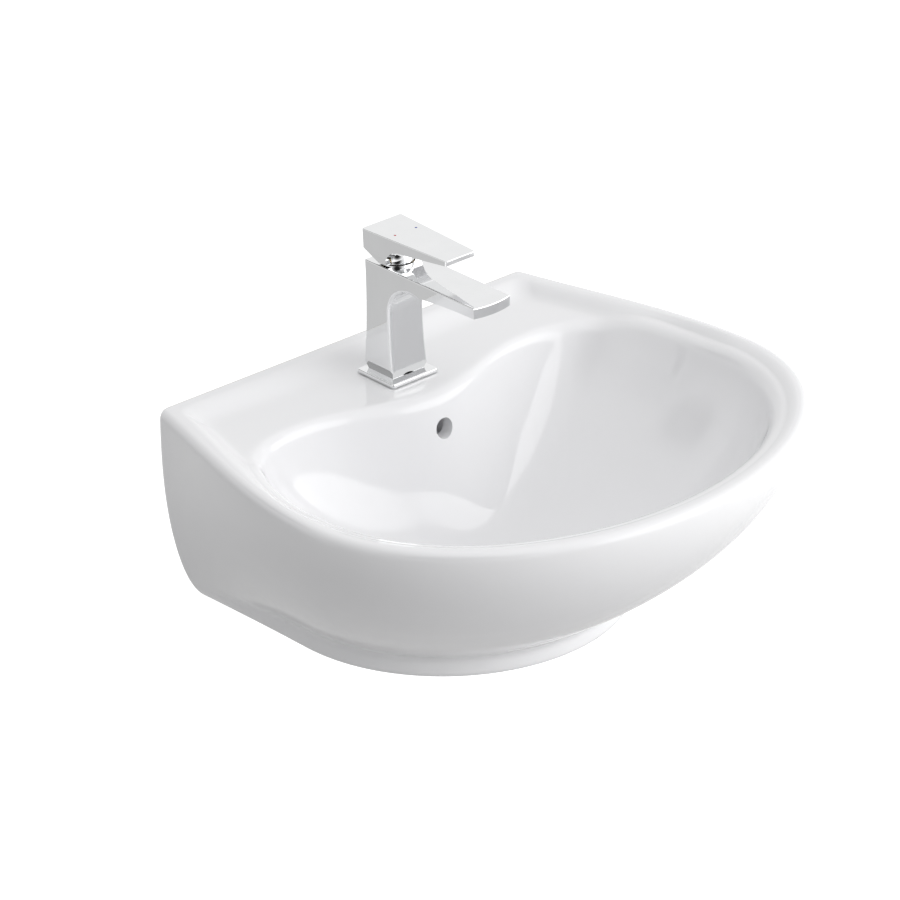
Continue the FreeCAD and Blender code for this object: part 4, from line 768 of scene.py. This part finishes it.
def rod(radius, start, end, sides):
    """A round cutter between two points."""

    def build(shape):
        way = Vector(end) - Vector(start)
        turn = way.to_track_quat("Z", "Y").to_matrix().to_4x4()
        bmesh.ops.create_cone(
            shape,
            cap_ends=True,
            segments=sides,
            radius1=radius,
            radius2=radius,
            depth=way.length,
            matrix=Matrix.Translation((Vector(start) + Vector(end)) / 2) @ turn,
        )

    return solid_from("rod", "glaze", build)


def block(low, high):
    """A square cutter between two corners."""

    def build(shape):
        middle = Matrix.Translation((Vector(low) + Vector(high)) / 2)
        size = Vector(high) - Vector(low)
        bmesh.ops.create_cube(shape, size=1.0, matrix=middle @ Matrix.Diagonal((*size, 1.0)))

    return solid_from("block", "glaze", build)


def arched(half_width, low, high, radius, front, rear):
    """A cutter with a flat foot and two rounded top corners, from front to rear."""

    def build(shape):
        points = [(half_width, low)]
        for corner in (1, -1):
            for step in range(ARCH_STEPS + 1):
                turn = QUARTER * step / ARCH_STEPS if corner > 0 else QUARTER * (1 + step / ARCH_STEPS)
                across = corner * (half_width - radius) + radius * math.cos(turn)
                points.append((across, high - radius + radius * math.sin(turn)))
        points.append((-half_width, low))
        near = [shape.verts.new((x, front, z)) for x, z in points]
        far = [shape.verts.new((x, rear, z)) for x, z in points]
        shape.faces.new(near)
        shape.faces.new(list(reversed(far)))
        for first in range(len(points)):
            second = (first + 1) % len(points)
            shape.faces.new((near[second], near[first], far[first], far[second]))

    return solid_from("arched", "glaze", build)


def combine(mesh, *steps):
    """A mesh after cutting others out of it or keeping its overlap with them, one after another."""
    holder = add_object("holder", mesh)
    tools = []
    for operation, other in steps:
        tools.append(add_object("tool", other))
        modifier = holder.modifiers.new("carve", "BOOLEAN")
        modifier.operation = operation
        modifier.solver = "MANIFOLD"
        modifier.object = tools[-1]
    made = bpy.data.meshes.new_from_object(holder.evaluated_get(bpy.context.evaluated_depsgraph_get()))
    for item in [holder, *tools]:
        bpy.data.objects.remove(item)
    return made


def make_basin():
    """The ceramic with its hollow underside and its holes."""
    bowl = bowl_mould(BOWL_WALL)
    rib = combine(bowl_mould(RIB_OUT), ("INTERSECT", block(*RIB_BOX)))
    duct = combine(bowl_mould(DUCT_OUT), ("INTERSECT", block(*DUCT_BOX)), ("DIFFERENCE", bowl))
    hollow = combine(hollow_mould(), ("DIFFERENCE", bowl), ("DIFFERENCE", rib))
    holes = [rod(*hole) for hole in HOLES.values()]
    cutters = [hollow, duct, *holes, arched(**SERVICE_OPENING)]
    mesh = combine(glazed_body(), *[("DIFFERENCE", cutter) for cutter in cutters])
    place_piece("basin_ceramic", smooth(mesh), "basin", "glaze", "basin")


make_basin()


# Threads, spring, aerator cells, nuts and marks

THREAD_SIDES = 36
THREAD_STEPS = 8
STUD_PITCH = 0.00125
STUD_DEPTH = 0.0007
WASTE_RADIUS = 0.02095
WASTE_PITCH = 0.00231
WASTE_CREST = 0.00026
SPRING_WIRE = 0.0006
SPRING_TURNS = 5.0
SPRING_STEPS = 40
SPRING_SIDES = 14
CELL_WIDTH = 0.0019
CELL_WALL = 0.00032
CELL_DEPTH = 0.0022
CELL_STEPS = 20
EDGE_CELL = 0.55  # cells stay this share of their width clear of the edge
AERATOR_SIDES = 64
HEXAGON = 6
HEX_CORNER = 2 / ROOT_3
NUT_SIDES = 96
MARK_DOME = 0.00012
MARK_STEPS = 6
MARK_POWER = 0.5
MARK_SIDES = 48
SCREW_EDGE = 0.0003
SCREW_SIDES = 72
SOCKET_FLATS = 0.001
SOCKET_DEPTH = 0.0025


def limits(node):
    """A solid's lowest and highest corners, and its middle."""
    low, high = (Vector(corner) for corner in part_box(node))
    return SimpleNamespace(low=low, high=high, middle=(low + high) / 2)


def thread_mesh(name, slot, middle, **sizes):
    """A screw thread as one sheet wound round an axis, closed over its ends or down its bore."""
    thread = Shape(name, {**sizes, "middle_x": middle.x, "middle_y": middle.y})
    wall = round((sizes["high"] - sizes["low"]) / sizes["pitch"] * THREAD_STEPS)
    rows = wall + (3 if sizes["bore"] else 2)
    x, y = thread.spot()
    across = x + 0.5
    row = (y + 0.5) * rows
    climb = thread.part(row, 1.0, wall + 1.0) - thread.part(row, wall + 2.0, wall + 3.0)
    height = thread.mix(thread.size("low"), thread.size("high"), climb)
    wound = thread.sum("FRACT", height / thread.size("pitch") - across)
    groove = thread.sum("ABSOLUTE", wound * 2.0 - 1.0)
    shown = thread.part(row, 0.0, 1.0) - thread.part(row, wall + 1.0, wall + 2.0)
    crest = thread.size("radius") - thread.size("depth") * groove
    radius = thread.mix(thread.size("bore"), crest, shown)
    turn = across * FULL_TURN
    x = thread.size("middle_x") + radius * thread.cosine(turn)
    y = thread.size("middle_y") + radius * thread.sine(turn)
    sheet = thread.sewn(thread.grid(THREAD_SIDES, rows), x, y, height)
    return smooth(thread.mesh(sheet, slot))


def make_stud():
    """The threaded rod that pulls the tap down on the deck."""
    stud = limits("fixing_stud")
    mesh = thread_mesh(
        "tap_stud",
        "steel",
        stud.middle,
        radius=stud.middle.x - stud.low.x,
        depth=STUD_DEPTH,
        pitch=STUD_PITCH,
        low=stud.low.z,
        high=stud.high.z,
        bore=0.0,
    )
    place_piece("tap_stud", mesh, "basin", "steel", "fixing_stud")


def make_waste_thread():
    """The pipe thread on the waste's tail, from its end up to the top of the lock nut."""
    waste = limits("waste_body")
    mesh = thread_mesh(
        "waste_thread",
        "chrome",
        waste.middle,
        radius=WASTE_RADIUS + WASTE_CREST,
        depth=2 * WASTE_CREST,
        pitch=WASTE_PITCH,
        low=waste.low.z + WASTE_CREST,
        high=limits("waste_lock_nut").high.z,
        bore=WASTE_RADIUS - WASTE_CREST,
    )
    place_piece("waste_thread", mesh, "basin", "chrome")


def make_spring():
    """The spring under the plug, wound along a spiral."""
    room = limits("click_spring")
    low, high, middle = room.low, room.high, room.middle
    sizes = {
        "wire": SPRING_WIRE,
        "radius": high.x - middle.x - SPRING_WIRE,
        "turns": SPRING_TURNS,
        "rise": high.z - low.z - 2 * SPRING_WIRE,
    }
    spring = Shape("plug_spring", sizes)
    sockets = {
        "Resolution": SPRING_STEPS,
        "Rotations": spring.size("turns"),
        "Start Radius": spring.size("radius"),
        "End Radius": spring.size("radius"),
        "Height": spring.size("rise"),
    }
    path = spring.add("GeometryNodeCurveSpiral", None, sockets).outputs[0]
    wound = spring.sweep(path, spring.circle(SPRING_SIDES, spring.size("wire")), caps=True)
    seated = spring.move(wound, Translation=(middle.x, middle.y, low.z + SPRING_WIRE))
    mesh = smooth(spring.mesh(seated, "steel"))
    piece = place_piece("plug_spring", mesh, None, "steel", "click_spring")
    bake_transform(piece)


def make_aerator():
    """The honeycomb that the water leaves through, under its plate."""
    room = limits("aerator_insert")
    sizes = {
        "radius": room.high.x - room.middle.x,
        "cell": CELL_WIDTH,
        "wall": CELL_WALL,
        "depth": CELL_DEPTH,
    }
    comb = Shape("aerator_cells", sizes)
    radius, cell, wall, depth = (comb.size(title) for title in sizes)
    tall = room.high.z - room.low.z
    pitch = cell * ROOT_3 / 2
    flat = comb.grid(CELL_STEPS, CELL_STEPS, cell * CELL_STEPS, pitch * CELL_STEPS)
    x, y = comb.spot()
    odd = comb.sum("FLOORED_MODULO", comb.sum("ROUND", y / pitch), 2.0)
    shift = comb.point(odd * cell / 2, 0.0, 0.0)
    shifted = comb.add("GeometryNodeSetPosition", None, {"Geometry": flat, "Offset": shift}).outputs[0]
    far = comb.sum("GREATER_THAN", comb.length(x, y), radius - cell * EDGE_CELL)
    kept = comb.add("GeometryNodeDeleteGeometry", None, {"Geometry": shifted, "Selection": far}).outputs[0]
    sockets = {"Width": wall, "Height": depth}
    strip = comb.add("GeometryNodeCurvePrimitiveQuadrilateral", None, sockets).outputs[0]
    ring = comb.sweep(comb.circle(HEXAGON, (cell - wall) / ROOT_3), strip)
    turned = comb.move(ring, Rotation=(0.0, 0.0, SIXTH / 2))
    cells = comb.add("GeometryNodeInstanceOnPoints", None, {"Points": kept, "Instance": turned}).outputs[0]
    band = comb.sweep(comb.circle(AERATOR_SIDES, radius - wall), strip)
    sockets = {"Vertices": AERATOR_SIDES, "Radius": radius, "Depth": tall - depth}
    plate = comb.add("GeometryNodeMeshCylinder", None, sockets).outputs[0]
    comb_middle = comb.point(0.0, 0.0, depth / 2)
    plate_middle = comb.point(0.0, 0.0, (tall + depth) / 2)
    whole = comb.join(
        comb.move(cells, Translation=comb_middle),
        comb.move(band, Translation=comb_middle),
        comb.move(plate, Translation=plate_middle),
    )
    seated = comb.move(whole, Translation=(room.middle.x, room.middle.y, room.low.z))
    mesh = comb.mesh(seated, "white_plastic")
    mesh.set_sharp_from_angle(angle=SHARP)
    place_piece("aerator_cells", mesh, "basin", "white_plastic", "aerator_insert")


def turned_mesh(name, rows, sides, slot, place):
    """A turned piece from rows of radius, height and flats: with flats, the row is cut to a hexagon."""

    def build(shape):
        rings = []
        for radius, height, flats in rows:
            ring = []
            for side in range(sides):
                turn = FULL_TURN * side / sides
                off = turn % SIXTH - SIXTH / 2
                reach = min(radius, flats / math.cos(off)) if flats else radius
                ring.append(shape.verts.new(place(reach * math.cos(turn), reach * math.sin(turn), height)))
            rings.append(ring)
        for first, second in zip(rings, rings[1:] + rings[:1]):
            for side in range(sides):
                after = (side + 1) % sides
                shape.faces.new((first[side], first[after], second[after], second[side]))
        bmesh.ops.remove_doubles(shape, verts=shape.verts, dist=SEAM)
        axis = [edge for edge in shape.edges if not edge.link_faces]
        bmesh.ops.delete(shape, geom=axis, context="EDGES")

    return smooth(solid_from(name, slot, build))


def make_nut(node, piece, hole, chamfer):
    """A hexagon nut with chamfered corners and a countersunk hole."""
    room = limits(node)
    low, high, middle = room.low, room.high, room.middle
    flats = min(high.x - low.x, high.y - low.y) / 2
    corner = flats * HEX_CORNER
    rows = [
        (hole + chamfer, low.z, 0.0),
        (flats, low.z, 0.0),
        (corner, low.z + chamfer, flats),
        (corner, high.z - chamfer, flats),
        (flats, high.z, 0.0),
        (hole + chamfer, high.z, 0.0),
        (hole, high.z - chamfer, 0.0),
        (hole, low.z + chamfer, 0.0),
    ]
    mesh = turned_mesh(piece, rows, NUT_SIDES, "brass", lambda x, y, z: (middle.x + x, middle.y + y, z))
    place_piece(piece, mesh, "basin", "brass", node)


def make_mark(node, piece, slot):
    """A drop of enamel on the lever, domed above its seat."""
    room = limits(node)
    low, high, middle = room.low, room.high, room.middle
    radius = (high.x - low.x) / 2
    seat = high.z - MARK_DOME
    rows = [(0.0, low.z, 0.0), (radius, low.z, 0.0), (radius, seat, 0.0)]
    for step in range(1, MARK_STEPS + 1):
        turn = QUARTER * step / MARK_STEPS
        rows.append((radius * math.cos(turn) ** MARK_POWER, seat + MARK_DOME * math.sin(turn), 0.0))
    mesh = turned_mesh(piece, rows, MARK_SIDES, slot, lambda x, y, z: (middle.x + x, middle.y + y, z))
    place_piece(piece, mesh, "lever", slot, node)


def make_grub_screw():
    """The screw that holds the lever, with its hexagon socket to the back."""
    room = limits("lever_grub_screw")
    low, high, middle = room.low, room.high, room.middle
    radius = middle.z - low.z
    corner = SOCKET_FLATS * HEX_CORNER
    rows = [
        (0.0, low.y, 0.0),
        (radius - SCREW_EDGE, low.y, 0.0),
        (radius, low.y + SCREW_EDGE, 0.0),
        (radius, high.y - SCREW_EDGE, 0.0),
        (radius - SCREW_EDGE, high.y, 0.0),
        (corner, high.y, SOCKET_FLATS),
        (corner, high.y - SOCKET_DEPTH, SOCKET_FLATS),
        (0.0, high.y - SOCKET_DEPTH, 0.0),
    ]
    mesh = turned_mesh(
        "lever_screw", rows, SCREW_SIDES, "steel", lambda x, y, z: (middle.x + x, z, middle.z + y)
    )
    place_piece("lever_screw", mesh, "lever", "steel", "lever_grub_screw")


make_stud()
make_waste_thread()
make_spring()
make_aerator()
make_nut("fixing_nut", "stud_nut", hole=0.00405, chamfer=0.0006)
make_nut("waste_lock_nut", "waste_nut", hole=0.0213, chamfer=0.0009)
make_mark("hot_mark", "red_mark", "hot")
make_mark("cold_mark", "blue_mark", "cold")
make_grub_screw()


# Floor, light and camera

FLOOR_Z = -0.74
FLOOR_SIZE = 40.0
FLOOR_SHADE = 0.52
FLOOR_GLOW = 0.85
LEVEL_LIGHT = 0.185
TOP_LIGHT = 0.88
CARD_CORE = 0.25  # a card is even over this share of its size, and fades out towards its edges
BASIN_MIDDLE = (0.0, -0.2, 0.0)
TAP_TOP = (0.0, -0.08, 0.18)
UNDER_MIDDLE = (-0.1, 0.2, 0.0)
CAMERA_PLACE = Vector((-2.4859, -2.8240, 1.8984))
CAMERA_TURN = math.radians(-42.681)
CAMERA_LIFT = math.radians(26.717)
CAMERA_LENS = 200.0
CAMERA_SENSOR = 36.0
CAMERA_REACH = (0.1, 200.0)


def add_square(name, size, place, turn, paint):
    """A flat, painted square about a place."""
    half = size / 2
    corners = [(-half, -half, 0.0), (half, -half, 0.0), (half, half, 0.0), (-half, half, 0.0)]
    mesh = bpy.data.meshes.new(name)
    mesh.from_pydata([Vector(place) + turn @ Vector(corner) for corner in corners], [], [(0, 1, 2, 3)])
    mesh.materials.append(paint.material)
    return add_object(name, mesh)


def shown_rays(board):
    """1 for the rays that the camera, mirrors and glass see by, and 0 for light."""
    path = board.add("ShaderNodeLightPath")
    seen = [Value(board, path.outputs[f"Is {kind} Ray"]) for kind in ("Camera", "Glossy", "Transmission")]
    return board.sum("MINIMUM", seen[0] + seen[1] + seen[2], 1.0)


def make_floor():
    shade = (FLOOR_SHADE, FLOOR_SHADE, FLOOR_SHADE, 1.0)
    paint = Finish("pale_floor", Base_Color=shade, Roughness=0.8, Specular_IOR_Level=0.0)
    glow = paint.add("ShaderNodeEmission", None, {"Strength": FLOOR_GLOW * shown_rays(paint)})
    paint.show(paint.add("ShaderNodeAddShader", None, {0: paint.shader.outputs[0], 1: glow.outputs[0]}))
    floor = add_square("floor", FLOOR_SIZE, (0.0, 0.0, FLOOR_Z), Matrix.Identity(3), paint)


def make_world():
    """White to the camera and in mirrors. As light it is soft and comes mostly from above."""
    world = bpy.data.worlds.new("studio")
    bpy.context.scene.world = world
    world.use_nodes = True
    board = Board(world.node_tree)
    way = board.add("ShaderNodeTexCoord").outputs["Generated"]
    rise = board.value("ShaderNodeSeparateXYZ", None, {0: way}, "Z")
    light = LEVEL_LIGHT + TOP_LIGHT * board.sum("MAXIMUM", rise, 0.0)
    sky = world.node_tree.nodes["Background"]
    board.feed(sky.inputs["Color"], (1.0, 1.0, 1.0, 1.0))
    board.feed(sky.inputs["Strength"], light + (1.0 - light) * shown_rays(board))


def add_lamp(name, place, target, size, power):
    """A rectangular lamp that mirrors don't see."""
    lamp = bpy.data.lights.new(name, "AREA")
    lamp.shape = "RECTANGLE"
    lamp.size, lamp.size_y = size
    lamp.energy = power
    holder = add_object(name, lamp)
    holder.location = place
    holder.rotation_euler = (Vector(target) - Vector(place)).to_track_quat("-Z", "Y").to_euler()
    holder.visible_glossy = False


def add_card(name, place, target, size, shade, core=CARD_CORE):
    """A card with soft edges beside the set, which only mirrors see: a painted reflection that gives no light
    and casts no shadow, where a glowing card paints a highlight and a dark one paints a dark band.
    """
    paint = Finish(name)
    off = paint.value(
        "ShaderNodeVectorMath", {"operation": "DISTANCE"}, {0: paint.place, 1: place}, "Value"
    )
    clear = paint.ramp(off, size / 2 * core, size / 2)
    glow = paint.add("ShaderNodeEmission", None, {"Strength": shade})
    none = paint.add("ShaderNodeBsdfTransparent")
    paint.show(paint.add("ShaderNodeMixShader", None, {0: clear, 1: glow.outputs[0], 2: none.outputs[0]}))
    turn = (Vector(target) - Vector(place)).to_track_quat("Z", "Y").to_matrix()
    card = add_square(name, size, place, turn, paint)
    card.visible_camera = False
    card.visible_diffuse = False
    card.visible_transmission = False
    card.visible_shadow = False


def make_camera():
    lens = bpy.data.cameras.new("photo_camera")
    lens.lens = CAMERA_LENS
    lens.sensor_width = CAMERA_SENSOR
    lens.clip_start, lens.clip_end = CAMERA_REACH
    camera = add_object("photo_camera", lens)
    level = math.cos(CAMERA_LIFT)
    back = Vector((math.sin(CAMERA_TURN) * level, -math.cos(CAMERA_TURN) * level, math.sin(CAMERA_LIFT)))
    right = Vector((math.cos(CAMERA_TURN), math.sin(CAMERA_TURN), 0.0))
    turn = Matrix((right, back.cross(right), back)).transposed().to_4x4()
    camera.matrix_world = Matrix.Translation(CAMERA_PLACE) @ turn
    bpy.context.scene.camera = camera


make_floor()
make_world()
make_camera()
add_lamp("key", place=(1.6, -2.6, 0.8), target=BASIN_MIDDLE, size=(3.4, 2.0), power=66.0)
# These cards are painted reflections. key_card paints a soft highlight in the glaze and chrome where the key
# lamp would show, and left_card, front_flag, under_card and back_flag paint grey or black reflections, such as
# the dark bands down the chrome.
add_card("key_card", place=(1.75, -2.4, 0.6), target=BASIN_MIDDLE, size=4.2, shade=2.6, core=0.85)
add_card("left_card", place=(-0.75, 0.75, -0.25), target=TAP_TOP, size=1.6, shade=0.64)
add_card("front_flag", place=(-1.0, -1.2, 0.75), target=TAP_TOP, size=2.4, shade=0.02)
add_card("under_card", place=(-0.1, 0.2, -0.7), target=UNDER_MIDDLE, size=3.6, shade=0.58)
add_card("back_flag", place=(-0.66, 0.95, 1.05), target=TAP_TOP, size=1.0, shade=0.02)

bpy.context.scene.view_settings.view_transform = "Standard"
